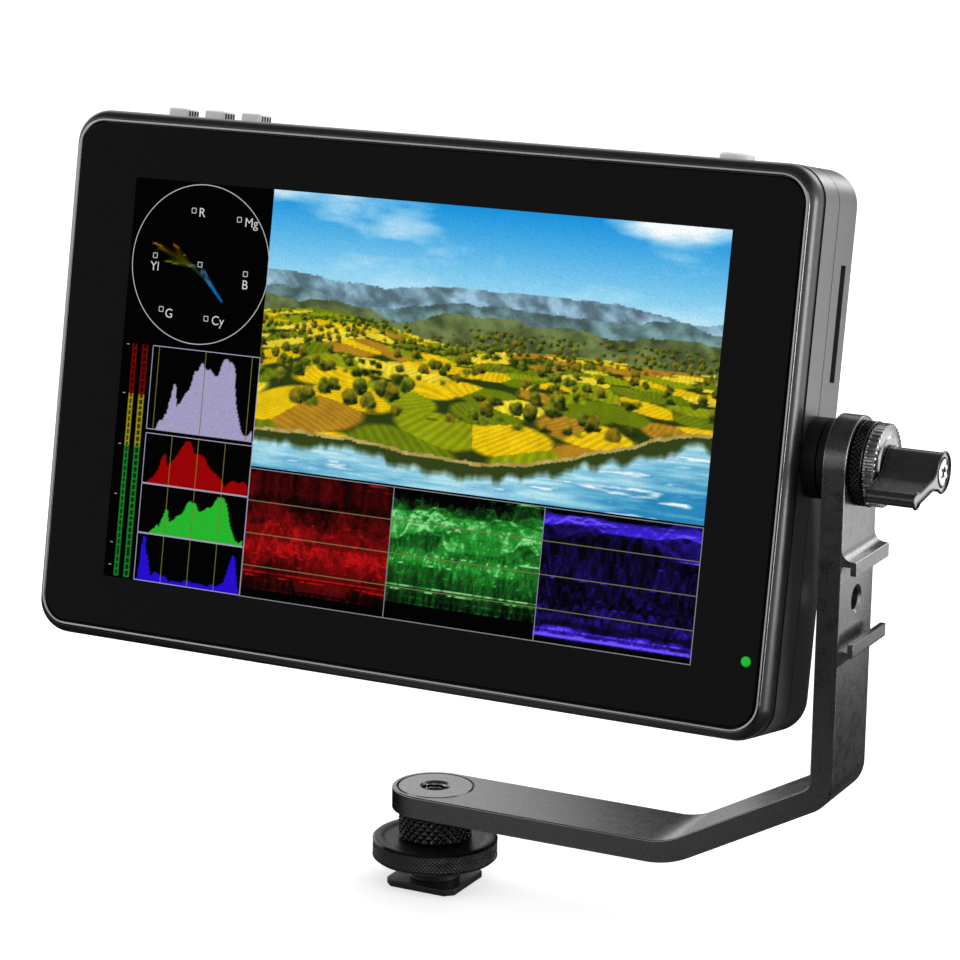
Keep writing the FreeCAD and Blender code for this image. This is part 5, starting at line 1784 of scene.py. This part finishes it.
def shore_and_water(u: Points, v: Points, colour: Points) -> Points:
    """Flood the foot of the picture: pale stretches and long ripples, dark under the bank.

    Args:
        u: Places across the picture.
        v: Places up the picture.
        colour: Display colours so far.

    Returns:
        Display colours with the inlet.
    """
    x, z = u * PICTURE_SIZE[0], v * PICTURE_SIZE[1]
    shore = 0.19 + 0.10 * np.sin(3.1 * u + 3.9) + 0.03 * np.sin(8.0 * u)
    shore = shore + 0.02 * rough_noise(x, 0.0 * z, 5.0, 61, 4)
    below = shore - v
    ripple = rough_noise(x * 0.28, z * (2.4 + 2.0 * v), 3.0, 63, 4)
    water = mix((0.74, 0.91, 0.95), (0.16, 0.53, 0.72), below * 4.2 + (ripple - 0.5) * 1.3)
    water = mix(water, (0.93, 0.97, 0.98), (ripple - 0.66) * 9.0)
    bank = 0.030 + 0.05 * rough_noise(x, 0.0 * z, 3.0, 65, 3)
    water = mix(water, (0.20, 0.26, 0.10), (bank - below) * 40.0 * (0.6 + 0.6 * ripple))
    sand = mix((0.82, 0.74, 0.48), (0.55, 0.47, 0.22), rough_noise(x, z, 1.6, 67, 3))
    colour = np.where(((v < shore + 0.012) & (v >= shore))[..., None], sand, colour)
    return np.where((v < shore)[..., None], water, colour)


def chroma(colour: Points) -> tuple[Points, Points]:
    """Give the blue and red difference signals of colours.

    Args:
        colour: Display colours.

    Returns:
        Blue difference and red difference.
    """
    luma = colour @ LUMA
    return (colour[..., 2] - luma) / BLUE_SPAN, (colour[..., 0] - luma) / RED_SPAN


@dataclass
class Signal:
    """Levels of the camera picture, counted as the measuring graphics show them."""

    columns: int = 756
    rows: int = 426
    panel_columns: int = 126
    panel_levels: int = 100
    bins: int = 98
    scope_bins: int = 124
    colour: Points = field(init=False)
    across: Points = field(init=False)

    def __post_init__(self) -> None:
        """Sample the picture once."""
        u, v = np.meshgrid(np.linspace(0.0, 1.0, self.columns), np.linspace(0.0, 1.0, self.rows))
        self.colour = np.clip(landscape(u, v).reshape(-1, 3), 0.0, 1.0)
        self.across = u.ravel()

    def waveform(self, channel: int) -> Points:
        """Count how one colour's levels crowd in each column of the picture.

        Args:
            channel: Number of the colour.

        Returns:
            Brightness shaped (panel_columns, panel_levels), from 0 to 1.
        """
        sides = ((0.0, 1.0), (0.0, 1.0))
        shape = (self.panel_columns, self.panel_levels)
        crowd, _, _ = np.histogram2d(self.across, self.colour[:, channel], shape, sides)
        return np.clip(crowd / np.percentile(crowd[crowd > 0.0], 97.0), 0.0, 1.0) ** 0.55

    def histogram(self, values: Points) -> Points:
        """Count levels over the whole picture.

        Args:
            values: Levels from 0 to 1.

        Returns:
            Height of each bin, from 0 to 1.
        """
        count, _ = np.histogram(values, self.bins, (0.0, 1.0))
        count = np.convolve(count, (0.1, 0.25, 0.3, 0.25, 0.1), "same")
        height = (count / np.percentile(count, 98.0)) ** 0.75
        return np.clip(height, 0.0, 1.0)

    def vectors(self, reach: float) -> Points:
        """Count colour differences over a square about zero.

        Args:
            reach: Half of the square's side.

        Returns:
            Brightness shaped (scope_bins, scope_bins), blue difference first.
        """
        blue, red = chroma(self.colour)
        sides = ((-reach, reach), (-reach, reach))
        crowd, _, _ = np.histogram2d(blue, red, self.scope_bins, sides)
        return np.clip(crowd / np.percentile(crowd[crowd > 0.0], 94.0), 0.0, 1.0) ** 0.4


@dataclass
class Screen:
    """Lit picture and measuring graphics behind the glass."""

    seat: Seat
    front: float = -14.0
    half_width: float = 75.4
    half_height: float = 47.1
    divide_across: float = -38.0
    divide_rise: float = -16.7
    cell: float = 0.3
    lift: float = 0.012
    scope_centre: tuple[float, float] = (-56.1, 28.2)
    scope_radius: float = 18.5
    scope_scale: float = 32.9
    scope_grey: float = 0.42
    scope_gain: float = 1.5
    scope_cover: float = 0.95
    target: float = 0.55
    bar_level: float = 0.75
    field_left: float = -66.9
    field_right: float = -37.9
    field_edges: tuple[tuple[float, float], ...] = (
        (8.3, -11.2), (-12.2, -23.9), (-24.1, -35.6), (-35.8, -46.9)
    )
    meter_left: tuple[float, float] = (-72.55, -69.8)
    meter_width: float = 1.35
    meter_rungs: float = 1.45
    meter_line: float = 0.3
    meter_dark: float = 0.32
    histogram_fill: float = 0.93
    yellow_from: float = -3.5
    green_from: float = -15.7
    meter_low: float = -46.6
    tick_rises: tuple[float, ...] = (8.0, -3.5, -15.5, -27.4, -38.9, -44.2)
    tick_ends: tuple[float, float] = (-74.2, -73.5)
    gap: float = 0.4
    line: float = 0.2
    letter: float = 3.0
    letter_level: float = 5.0
    letter_colour: Colour = (0.80, 0.80, 0.82)
    letter_offsets: tuple[tuple[str, float, float], ...] = (
        ("R", 2.2, -0.4), ("Mg", 3.3, -0.6), ("B", 0.1, -2.6),
        ("Cy", 3.2, -0.3), ("G", 2.2, -0.9), ("Yl", 0.1, -2.6),
    )
    signal: Signal = field(default_factory=Signal)

    def build(self) -> None:
        """Make the lit pieces of the screen."""
        self.back_field()
        self.picture()
        self.parade()
        self.column()
        self.lines()
        self.letters()

    def spread(
        self, left: float, right: float, low: float, high: float, level: int
    ) -> tuple[Points, Points]:
        """Spread a grid over a field of the screen.

        Args:
            left: Left edge.
            right: Right edge.
            low: Lower edge.
            high: Upper edge.
            level: Number of steps that the field stands before the glass.

        Returns:
            Grid points shaped (rows, columns, 3), and the shares across and up, two per point.
        """
        columns, rows = round((right - left) / self.cell) + 1, round((high - low) / self.cell) + 1
        u, v = np.meshgrid(np.linspace(0.0, 1.0, columns), np.linspace(0.0, 1.0, rows))
        depth = self.front - self.lift * level + 0.0 * u
        points = np.stack([left + (right - left) * u, depth, low + (high - low) * v], axis=-1)
        return points, np.stack([u, v], axis=-1)

    def show(self, name: str, surface: Surface, colour: Points) -> None:
        """Make a lit piece.

        Args:
            name: Name of the piece.
            surface: Its surface, in the monitor's frame.
            colour: Display colour of each point.
        """
        made = raw_object(name, surface, self.seat)
        level = np.clip(colour.reshape(-1, 3), 0.0, 1.0)
        paint(made.data, np.concatenate([to_light(level), np.ones((len(level), 1))], axis=1))
        made.data.materials.append(LIT.material())
        made.data.shade_smooth()
        enter(made, Tag("monitor", Slot.PANEL))

    def back_field(self) -> None:
        """Make the dark field that the graphics stand on."""
        width, height = self.half_width, self.half_height
        low = [[-width, 0.0, -height], [width, 0.0, -height]]
        grid = np.array([low, [[-width, 0.0, height], [width, 0.0, height]]])
        grid[..., 1] = self.front - self.lift
        self.show("screen_field", patch(grid), np.full((4, 3), BLANK))

    def picture(self) -> None:
        """Make the camera picture."""
        sides = (self.divide_across, self.half_width)
        grid, share = self.spread(*sides, self.divide_rise, self.half_height, 2)
        self.show("screen_picture", patch(grid), landscape(share[..., 0], share[..., 1]))

    def parade(self) -> None:
        """Make the colour parade: three panels whose columns glow where levels crowd."""
        sides = (self.divide_across, self.half_width)
        grid, share = self.spread(*sides, -self.half_height, self.divide_rise - self.gap, 2)
        panel = np.minimum((share[..., 0] * 3.0).astype(int), 2)
        signal = self.signal
        column = ((share[..., 0] * 3.0 - panel) * (signal.panel_columns - 1)).astype(int)
        level = (share[..., 1] * (signal.panel_levels - 1)).astype(int)
        crowds = np.stack([signal.waveform(number) for number in range(3)])
        glow = crowds[panel, np.clip(column, 0, signal.panel_columns - 1), level][..., None]
        tints = np.array([[0.62, 0.04, 0.05], [0.18, 0.72, 0.22], [0.27, 0.15, 1.0]])
        hot = np.array([[0.12, 0.02, 0.02], [0.45, 0.18, 0.42], [0.20, 0.20, 0.0]])
        colour = BLANK + tints[panel] * glow + hot[panel] * np.clip(glow - 0.8, 0.0, 1.0) * 4.0
        self.show("screen_parade", patch(grid), colour)

    def column(self) -> None:
        """Make the left column: vector scope trace, level meters and four histograms."""
        left, right = -self.half_width, self.divide_across - self.gap
        grid, _ = self.spread(left, right, -self.half_height, self.half_height, 2)
        x, z = grid[..., 0], grid[..., 2]
        colour = np.full((*x.shape, 3), BLANK)
        colour = self.scope(x, z, colour)
        colour = self.meters(x, z, colour)
        colour = self.histograms(x, z, colour)
        self.show("screen_column", patch(grid), colour)

    def scope(self, x: Points, z: Points, colour: Points) -> Points:
        """Add the vector scope's trace: a place glows in its own hue where the colours crowd.

        Args:
            x: Places across.
            z: Places up.
            colour: Display colours so far.

        Returns:
            Display colours with the trace.
        """
        reach = self.scope_radius / self.scope_scale
        blue = (x - self.scope_centre[0]) / self.scope_scale
        red = (z - self.scope_centre[1]) / self.scope_scale
        last = self.signal.scope_bins - 1
        column = np.clip((blue / reach + 1.0) / 2.0 * last, 0, last).astype(int)
        row = np.clip((red / reach + 1.0) / 2.0 * last, 0, last).astype(int)
        glow = self.signal.vectors(reach)[column, row] * (np.hypot(blue, red) < reach)
        green = GREEN_BY_BLUE * blue + GREEN_BY_RED * red
        parts = np.stack([RED_SPAN * red, green, BLUE_SPAN * blue], axis=-1)
        tint = np.clip(self.scope_grey + self.scope_gain * parts, 0.0, 1.0)
        return mix(colour, tint, glow * self.scope_cover)

    def meters(self, x: Points, z: Points, colour: Points) -> Points:
        """Add two level meters: thin ladders with dark fields, green below, then yellow and red.

        Args:
            x: Places across.
            z: Places up.
            colour: Display colours so far.

        Returns:
            Display colours with the meters.
        """
        tint = np.where((z > self.yellow_from)[..., None], (0.46, 0.03, 0.03), (0.62, 0.58, 0.10))
        tint = np.where((z < self.green_from)[..., None], (0.10, 0.52, 0.17), tint)
        rung = np.mod(z - self.meter_low, self.meter_rungs) < self.meter_line
        tall = (z > self.meter_low) & (z < self.field_edges[0][0])
        for left in self.meter_left:
            bar = tall & (x > left) & (x < left + self.meter_width)
            off = np.abs(x - left - self.meter_width / 2.0)
            rail = off > self.meter_width / 2.0 - self.meter_line
            shown = np.where((rung | rail)[..., None], tint, tint * self.meter_dark)
            colour = np.where(bar[..., None], shown, colour)
        return colour

    def histograms(self, x: Points, z: Points, colour: Points) -> Points:
        """Add four histograms: the area under the counts of brightness, red, green and blue.

        Args:
            x: Places across.
            z: Places up.
            colour: Display colours so far.

        Returns:
            Display colours with the histograms.
        """
        levels = self.signal.colour
        sets = (levels @ LUMA, levels[:, 0], levels[:, 1], levels[:, 2])
        tints = ((0.63, 0.61, 0.75), (0.58, 0.01, 0.02), (0.15, 0.70, 0.18), (0.15, 0.05, 0.80))
        u = (x - self.field_left) / (self.field_right - self.field_left)
        bin_number = np.clip(u * self.signal.bins, 0, self.signal.bins - 1).astype(int)
        for (top, foot), values, tint in zip(self.field_edges, sets, tints):
            v = (z - foot) / (top - foot)
            curve = self.histogram_fill * self.signal.histogram(values)[bin_number]
            under = (v > 0.0) & (v < curve) & (u > 0.0) & (u < 1.0)
            colour = np.where(under[..., None], tint, colour)
        return colour

    def strokes(self, ends: Points, width: float, level: float) -> Surface:
        """Give each straight line a thin face: its ends, moved to both sides by half of the width.

        Args:
            ends: Start and end of each line, shaped (count, 2, 2).
            width: Width of the lines.
            level: Number of steps that the lines stand before the glass.

        Returns:
            All lines as one surface.
        """
        along = ends[:, 1] - ends[:, 0]
        normal = np.stack([-along[:, 1], along[:, 0]], axis=-1)
        normal = normal / np.linalg.norm(normal, axis=1, keepdims=True) * width / 2.0
        low, high = ends - normal[:, None, :], ends + normal[:, None, :]
        corners = np.stack([low[:, 0], low[:, 1], high[:, 1], high[:, 0]], axis=1)
        depth = np.full((*corners.shape[:2], 1), self.front - level * self.lift)
        points = np.concatenate([corners[..., :1], depth, corners[..., 1:]], axis=-1).reshape(-1, 3)
        quads = np.arange(len(points)).reshape(-1, 4)
        return Surface(points, quads, np.zeros(len(quads), dtype=int))

    def draw(self, name: str, lines: Sequence[Points], colour: Colour, level: float = 3.0) -> None:
        """Make a lit piece of thin lines.

        Args:
            name: Name of the piece.
            lines: Sets of lines, each shaped (count, 2, 2).
            colour: Their display colour.
            level: Number of steps that the lines stand before the glass.
        """
        ends = np.concatenate(lines)
        self.show(name, self.strokes(ends, self.line, level), np.full((4 * len(ends), 3), colour))

    @staticmethod
    def loop(centre: Sequence[float], radius: float, parts: int, start: float = 0.0) -> Points:
        """Give a ring, or a square of four parts, as a closed chain of lines.

        Args:
            centre: Centre of the ring.
            radius: Its radius.
            parts: Number of lines.
            start: Angle of the first point, in radians.

        Returns:
            Start and end of each line, shaped (parts, 2, 2).
        """
        turn = np.linspace(0.0, 2.0 * np.pi, parts + 1) + start
        points = np.array(centre) + radius * np.stack([np.cos(turn), np.sin(turn)], axis=-1)
        return np.stack([points[:-1], points[1:]], axis=1)

    @staticmethod
    def frame_lines(left: float, right: float, low: float, high: float) -> Points:
        """Give the four sides of a rectangle as lines.

        Args:
            left: Left edge.
            right: Right edge.
            low: Lower edge.
            high: Upper edge.

        Returns:
            Start and end of each line, shaped (4, 2, 2).
        """
        corner = np.array([[left, low], [right, low], [right, high], [left, high]])
        return np.stack([corner, np.roll(corner, -1, axis=0)], axis=1)

    @staticmethod
    def upright(places: Sequence[float], low: float, high: float) -> Points:
        """Give upright lines between two levels, shaped (count, 2, 2)."""
        return np.array([[[place, low], [place, high]] for place in places])

    @staticmethod
    def level_lines(rises: Sequence[float], left: float, right: float) -> Points:
        """Give level lines between two places, shaped (count, 2, 2)."""
        return np.array([[[left, rise], [right, rise]] for rise in rises])

    def lines(self) -> None:
        """Make the thin lines: scope ring, hue targets, frames, meter ticks and parade grid."""
        left, right = self.field_left, self.field_right
        diagonal = self.target * math.sqrt(2.0)
        squares = [self.loop(place, diagonal, 4, np.pi / 4.0) for place in self.targets()]
        ring = [self.loop(self.scope_centre, self.scope_radius, 120), *squares]
        self.draw("scope_ring", ring, (0.72, 0.72, 0.74), 4.0)
        frames = [self.frame_lines(left, right, foot, top) for top, foot in self.field_edges]
        frames.append(self.level_lines(self.tick_rises, *self.tick_ends))
        self.draw("field_frames", frames, (0.62, 0.60, 0.70), 4.0)
        span = right - left
        thirds = [left + span * share for share in (0.06, 0.5, 0.93)]
        quarters = [left + span * share for share in QUARTERS]
        marks = [self.upright(thirds, self.field_edges[0][1], self.field_edges[0][0])]
        marks += [self.upright(quarters, foot, top) for top, foot in self.field_edges[1:]]
        self.draw("field_marks", marks, (0.44, 0.41, 0.16))
        low, high = -self.half_height, self.divide_rise - self.gap
        panel = (self.half_width - self.divide_across) / 3.0
        edges = [self.divide_across + panel * number for number in range(4)]
        rises = [low + (high - low) * share for share in QUARTERS]
        levels = self.level_lines(rises, edges[0], edges[3])
        self.draw("parade_levels", [levels], (0.45, 0.44, 0.28))
        inside = (low + self.line / 2.0, high - self.line / 2.0)
        borders = [self.upright(edges, low, high), self.level_lines(inside, edges[0], edges[3])]
        self.draw("parade_borders", borders, (0.52, 0.53, 0.56), 4.0)

    def targets(self) -> Points:
        """Give the places of the hue targets, at the colour differences of the six full hues.

        Returns:
            Places shaped (7, 2), in the order of the letters, then the centre.
        """
        hues = [[1, 0, 0], [1, 0, 1], [0, 0, 1], [0, 1, 1], [0, 1, 0], [1, 1, 0], [0, 0, 0]]
        blue, red = chroma(np.array(hues) * self.bar_level)
        return np.stack([blue, red], axis=-1) * self.scope_scale + np.array(self.scope_centre)

    def letters(self) -> None:
        """Make the hue letters beside the targets, as flat lit faces."""
        for (text, *offset), place in zip(self.letter_offsets, self.targets()):
            curve = bpy.data.curves.new(f"hue_{text}", "FONT")
            curve.body, curve.size = text, self.letter
            curve.align_x = curve.align_y = "CENTER"
            holder = place_object(f"hue_{text}_text", curve)
            shape = holder.evaluated_get(bpy.context.evaluated_depsgraph_get())
            mesh = bpy.data.meshes.new_from_object(shape)
            bpy.data.objects.remove(holder)
            flat = np.empty(3 * len(mesh.vertices))
            mesh.vertices.foreach_get("co", flat)
            flat = flat.reshape(-1, 3)
            depth = np.full(len(flat), self.front - self.letter_level * self.lift)
            across, rise = flat[:, 0] + place[0] + offset[0], flat[:, 1] + place[1] + offset[1]
            placed = self.seat.place(np.stack([across, depth, rise], axis=-1))
            mesh.vertices.foreach_set("co", placed.ravel())
            mesh.name = f"hue_{text}"
            mesh.materials.clear()
            mesh.materials.append(LIT.material())
            paint(mesh, np.tile(linear(self.letter_colour), (len(flat), 1)))
            enter(place_object(f"hue_{text}", mesh), Tag("monitor", Slot.PANEL))


# ---------------------------------------------------------------- keys, sockets and back


@dataclass
class Keys:
    """Three square keys with ribbed sides and a round power key on the top."""

    seat: Seat
    top: float = 62.3
    key_width: float = 5.4
    key_depth: float = 6.0
    key_proud: float = 2.3
    depth_level: float = 6.5
    first: float = -76.6
    pitch: float = 10.05
    rib: float = 0.62
    rib_count: int = 4
    rib_proud: float = 0.16
    rib_short: float = 0.9
    rib_drop: float = 0.1
    key_edge: float = 0.3
    power_across: float = 66.5
    power_radius: float = 3.9
    power_proud: float = 1.8
    power_root: float = 2.0
    power_round: float = 0.7
    dish: float = 0.25
    dish_rows: tuple[float, ...] = (2.9, 2.2, 1.4, 0.7, 0.0)

    def build(self) -> None:
        """Make the keys."""
        for number, name in enumerate(("key_left", "key_middle", "key_right")):
            smooth_copy(name, KEY, Tag(name, Slot.KEY), edge=self.key_edge)
            self.ribs(name, self.first + self.pitch * number)
        self.power()

    def ribs(self, name: str, middle: float) -> None:
        """Make the dark ribs on both sides of a key.

        Args:
            name: Name of the key, which is also its body.
            middle: Place of the key along the top.
        """
        step = self.key_depth / (self.rib_count + 1)
        depths = self.depth_level + step * (np.arange(self.rib_count) - (self.rib_count - 1) / 2.0)
        sides = np.array([-1.0, 1.0]) * self.key_width / 2.0
        depth, side = np.meshgrid(depths, sides)
        rise = np.full(depth.size, self.top + self.key_proud / 2.0 - self.rib_drop)
        centres = np.stack([middle + side.ravel(), depth.ravel(), rise], axis=-1)
        size = (self.rib_proud, self.rib, self.key_proud - self.rib_short)
        surface = blocks(centres, size)
        solid(f"{name}_ribs", surface, self.seat, [BLACK_PLASTIC], Tag(name, Slot.BLACK_PLASTIC))

    def power(self) -> None:
        """Make the power key: a low round button with a dished top."""
        root, top = self.top - self.power_root, self.top + self.power_proud
        radius, edge, rim = self.power_radius, self.power_round, self.dish_rows[0]
        swing = np.linspace(0.0, np.pi / 2.0, 6)
        crown = [
            (top - edge + edge * math.sin(t), radius - edge + edge * math.cos(t)) for t in swing
        ]
        dish = [(top - self.dish * (1.0 - (r / rim) ** 2), r) for r in self.dish_rows]
        profile = [(root, 0.0), (root, radius), *crown, *dish]
        surface = lathe(profile, Axis.Z, 64)
        surface.points = surface.points + np.array([self.power_across, self.depth_level, 0.0])
        tag = Tag("power_key", Slot.KEY, ("power_key",))
        solid("power_key_round", surface, self.seat, [KEY], tag)


@dataclass
class BackAndSides:
    """Sockets on the left, the threaded insert, the fan, and the battery side with its contacts and
    latch.
    """

    plastic_edge: float = 0.25
    latch_edge: float = 0.2
    blade_edge: float = 0.05

    def build(self) -> None:
        """Make the pieces of the sides and the back."""
        plain = (
            ("video_input", SOCKET, Slot.SOCKET, 0.0),
            ("video_output", SOCKET, Slot.SOCKET, 0.0),
            ("power_jack", BLACK_PLASTIC, Slot.BLACK_PLASTIC, 0.0),
            ("audio_jack", BLACK_PLASTIC, Slot.BLACK_PLASTIC, 0.0),
            ("battery_plate", BLACK_PLASTIC, Slot.BLACK_PLASTIC, self.plastic_edge),
            ("battery_contacts", BLACK_PLASTIC, Slot.BLACK_PLASTIC, self.plastic_edge),
            ("left_insert", BRASS, Slot.BRASS, 0.0),
            ("fan_frame", BLACK_PLASTIC, Slot.BLACK_PLASTIC, 0.0),
        )
        for node, finish, slot, edge in plain:
            smooth_copy(node, finish, Tag("monitor", slot), edge=edge)
        smooth_copy("fan_rotor", BLACK_PLASTIC, Tag("fan_rotor", Slot.BLACK_PLASTIC))
        latch = Tag("battery_latch", Slot.BRIGHT)
        smooth_copy("battery_latch", BRIGHT, latch, edge=self.latch_edge)
        smooth_copy("contact_blades", GOLD, Tag("monitor", Slot.BRASS), edge=self.blade_edge)


def dress_frame() -> None:
    """Give every CAD node the finish of its material slot, for those that stay in sight."""
    slots = {part["node"]: part["material_slot"] for part in frame["record"]["subparts"]}
    for name, node in frame["nodes"].items():
        node.data.materials.clear()
        node.data.materials.append(SLOT_FINISH[Slot(slots[name])].material())


# ---------------------------------------------------------------- studio


@dataclass
class Studio:
    """White room: soft lamps, dark cards for reflections, a pale floor and the photo's camera."""

    lens: float = 120.2055
    position: tuple[float, float, float] = (330.41, -636.55, 267.56)
    back: tuple[float, float, float] = (0.43690, -0.86942, 0.23073)
    roll: float = math.radians(0.81)
    ambient: float = 0.55
    floor_size: float = 6.0
    floor_lift: float = 0.56
    flag_edge: float = 0.82
    hole_glow: float = 0.28
    aim: tuple[float, float, float] = (0.0, 0.0, 0.1)
    lamps: list[tuple[str, tuple[float, float, float], float, float]] = field(
        default_factory=lambda: [
            ("lamp_above", (0.1, 0.1, 1.5), 1.3, 6.0),
            ("lamp_right", (0.78, 0.16, 0.10), 0.34, 3.2),
            ("lamp_back", (0.3, 1.15, 0.62), 0.5, 2.4),
            ("lamp_left", (-1.2, -1.0, 1.1), 0.9, 3.0),
        ]
    )

    def build(self) -> None:
        """Make the world, the floor, the cards, the lamps and the camera."""
        self.world()
        self.floor()
        hole = (0.0, -0.10, 0.115)
        self.flag("flag_floor", (-0.15, -0.32, -0.00001), (0.735, 0.735), 0.004, hole=hole)
        self.flag("flag_ceiling", (-0.1, -0.3, 0.9), (1.4, 1.4), 0.07)
        self.flag("flag_behind", (0.05, 0.26, 0.09), (0.136, 0.136), 0.004, upright=True)
        self.flag("flag_left", (-0.07, 0.5, 0.15), (0.16, 0.11), 0.012, upright=True)
        self.flag("flag_front", (0.15, -0.9, 0.14), (0.37, 0.23), 0.004, upright=True)
        self.flag("flag_beside", (0.1015, 0.03, 0.06), (0.0098, 0.05), 0.05, upright=True)
        for name, place, size, power in self.lamps:
            self.lamp(name, place, size, power)
        self.camera()
        bpy.context.scene.view_settings.view_transform = "Standard"

    def world(self) -> None:
        """Show white to the camera and in reflections, and light the object more softly."""
        world = bpy.data.worlds.new("studio")
        bpy.context.scene.world = world
        world.use_nodes = True
        tree = world.node_tree
        level = remap(tree, seen_ray(tree), self.ambient, 1.0, 0.0, 1.0)
        join(tree, tree.nodes["Background"], {"Color": WHITE, "Strength": level})

    def floor(self) -> None:
        """Make the pale floor, lifted to white for the camera so that only shadows show."""
        half = self.floor_size / MM / 2.0
        x, y = np.meshgrid([-half, half], [-half, half])
        grid = np.stack([x, y, 0.0 * x], axis=-1)
        made = raw_object("floor", patch(grid), Seat((0.0, 0.0, -0.02)))
        material = FLOOR.material()
        tree = material.node_tree
        lift = add_node(tree, "Math", {0: seen_ray(tree), 1: self.floor_lift}, operation="MULTIPLY")
        glow = {"Emission Color": WHITE, "Emission Strength": lift.outputs["Value"]}
        join(tree, tree.nodes["Principled BSDF"], glow)
        made.data.materials.append(material)

    def flag(
        self,
        name: str,
        centre: tuple[float, float, float],
        reach: tuple[float, float],
        tone: float,
        hole: tuple[float, float, float] | None = None,
        upright: bool = False,
    ) -> None:
        """Hang a dark oval card that only reflections see; a lying card is white at its rim.

        Args:
            name: Name of the card.
            centre: Its centre, in metres.
            reach: Its half sizes, in metres.
            tone: Its brightness, where white is 1.
            hole: Place across, place in depth and radius of a brighter spot, in metres.
            upright: Whether it stands across the depth instead of lying flat.
        """
        share, turn = np.meshgrid([0.0, 1.0], np.linspace(0.0, 2.0 * np.pi, 65), indexing="ij")
        u, v = share * np.cos(turn) * reach[0] / MM, share * np.sin(turn) * reach[1] / MM
        grid = np.stack([u, 0.0 * u, v] if upright else [u, v, 0.0 * u], axis=-1)
        made = raw_object(name, patch(grid), Seat(tuple(value / MM for value in centre)))
        felt = Finish(f"{name}_felt", (0.02, 0.02, 0.02), 0.0, 0.9, 0.0, 2.0, 0.01, 0.2, 0.03)
        material = felt.material()
        tree, glow = material.node_tree, tone
        if not upright:
            glow = self.fade(tree, centre, (*reach, 1.0), (self.flag_edge, 1.0, tone, 1.0))
        if hole is not None:
            steps = (0.5, 1.0, self.hole_glow, 0.0)
            spot = self.fade(tree, (*hole[:2], 0.0), (hole[2], hole[2], 1.0), steps)
            glow = add_node(tree, "Math", {0: glow, 1: spot}, operation="MAXIMUM").outputs["Value"]
        light = {"Emission Color": WHITE, "Emission Strength": glow}
        join(tree, tree.nodes["Principled BSDF"], light)
        made.data.materials.append(material)
        made.visible_camera = made.visible_diffuse = False
        made.visible_transmission = made.visible_shadow = False

    @staticmethod
    def fade(
        tree: bpy.types.NodeTree,
        centre: tuple[float, float, float],
        scale: tuple[float, float, float],
        steps: tuple[float, float, float, float],
    ) -> bpy.types.NodeSocket:
        """Add a value that changes with the distance from a centre.

        Args:
            tree: Node tree of the material.
            centre: The centre, in metres.
            scale: Length of one unit of distance along each axis, in metres.
            steps: Distances where the change starts and ends, then the values there.

        Returns:
            Socket with the value.
        """
        inputs = {"Location": centre, "Scale": scale, "Vector": own_place(tree)}
        shift = add_node(tree, "Mapping", inputs, vector_type="TEXTURE").outputs["Vector"]
        away = add_node(tree, "VectorMath", {0: shift}, operation="LENGTH").outputs["Value"]
        start, end, low, high = steps
        return remap(tree, away, low, high, start, end)

    def lamp(self, name: str, place: tuple[float, float, float], size: float, power: float) -> None:
        """Hang one soft square lamp that looks at the monitor.

        Args:
            name: Name of the lamp.
            place: Its place, in metres.
            size: Side of the square, in metres.
            power: Its power, in watts.
        """
        data = bpy.data.lights.new(name, "AREA")
        data.shape, data.size, data.energy = "SQUARE", size, power
        made = place_object(name, data)
        made.location = place
        aim = Vector(self.aim) - Vector(place)
        made.rotation_euler = aim.to_track_quat("-Z", "Y").to_euler()
        made.visible_camera = False

    def camera(self) -> None:
        """Set the camera of the photograph."""
        back = Vector(self.back).normalized()
        right = Vector((0.0, 0.0, 1.0)).cross(back).normalized()
        up = back.cross(right)
        turned_right = right * math.cos(self.roll) + up * math.sin(self.roll)
        turned_up = up * math.cos(self.roll) - right * math.sin(self.roll)
        matrix = Matrix((turned_right, turned_up, back)).transposed().to_4x4()
        matrix.translation = Vector(self.position) * MM
        data = bpy.data.cameras.new("photo_camera")
        data.sensor_width, data.lens = 36.0, self.lens
        made = place_object("photo_camera", data)
        made.matrix_world = matrix
        bpy.context.scene.camera = made


def seen_ray(tree: bpy.types.NodeTree) -> bpy.types.NodeSocket:
    """Tell rays of the camera, of reflections and of transmission from the others.

    Args:
        tree: Node tree that the test is added to.

    Returns:
        Socket that is 1 for those rays and 0 for others.
    """
    rays = add_node(tree, "LightPath", {}).outputs
    seen = rays["Is Camera Ray"]
    for kind in ("Is Glossy Ray", "Is Transmission Ray"):
        either = {0: seen, 1: rays[kind]}
        seen = add_node(tree, "Math", either, operation="MAXIMUM").outputs["Value"]
    return seen


def main() -> None:
    """Build the sub-assemblies in order, then the studio."""
    logging.basicConfig(level=logging.INFO)
    monitor = Seat((-2.4, 0.0, 113.4), -10.0)
    dress_frame()
    for part in (
        ShoeFoot(),
        TiltArm(),
        PivotClamp(),
        Housing(monitor),
        Screen(monitor),
        Keys(monitor),
        BackAndSides(),
        Studio(),
    ):
        log.info("building %s", type(part).__name__)
        part.build()


if __name__ == "__main__":
    main()
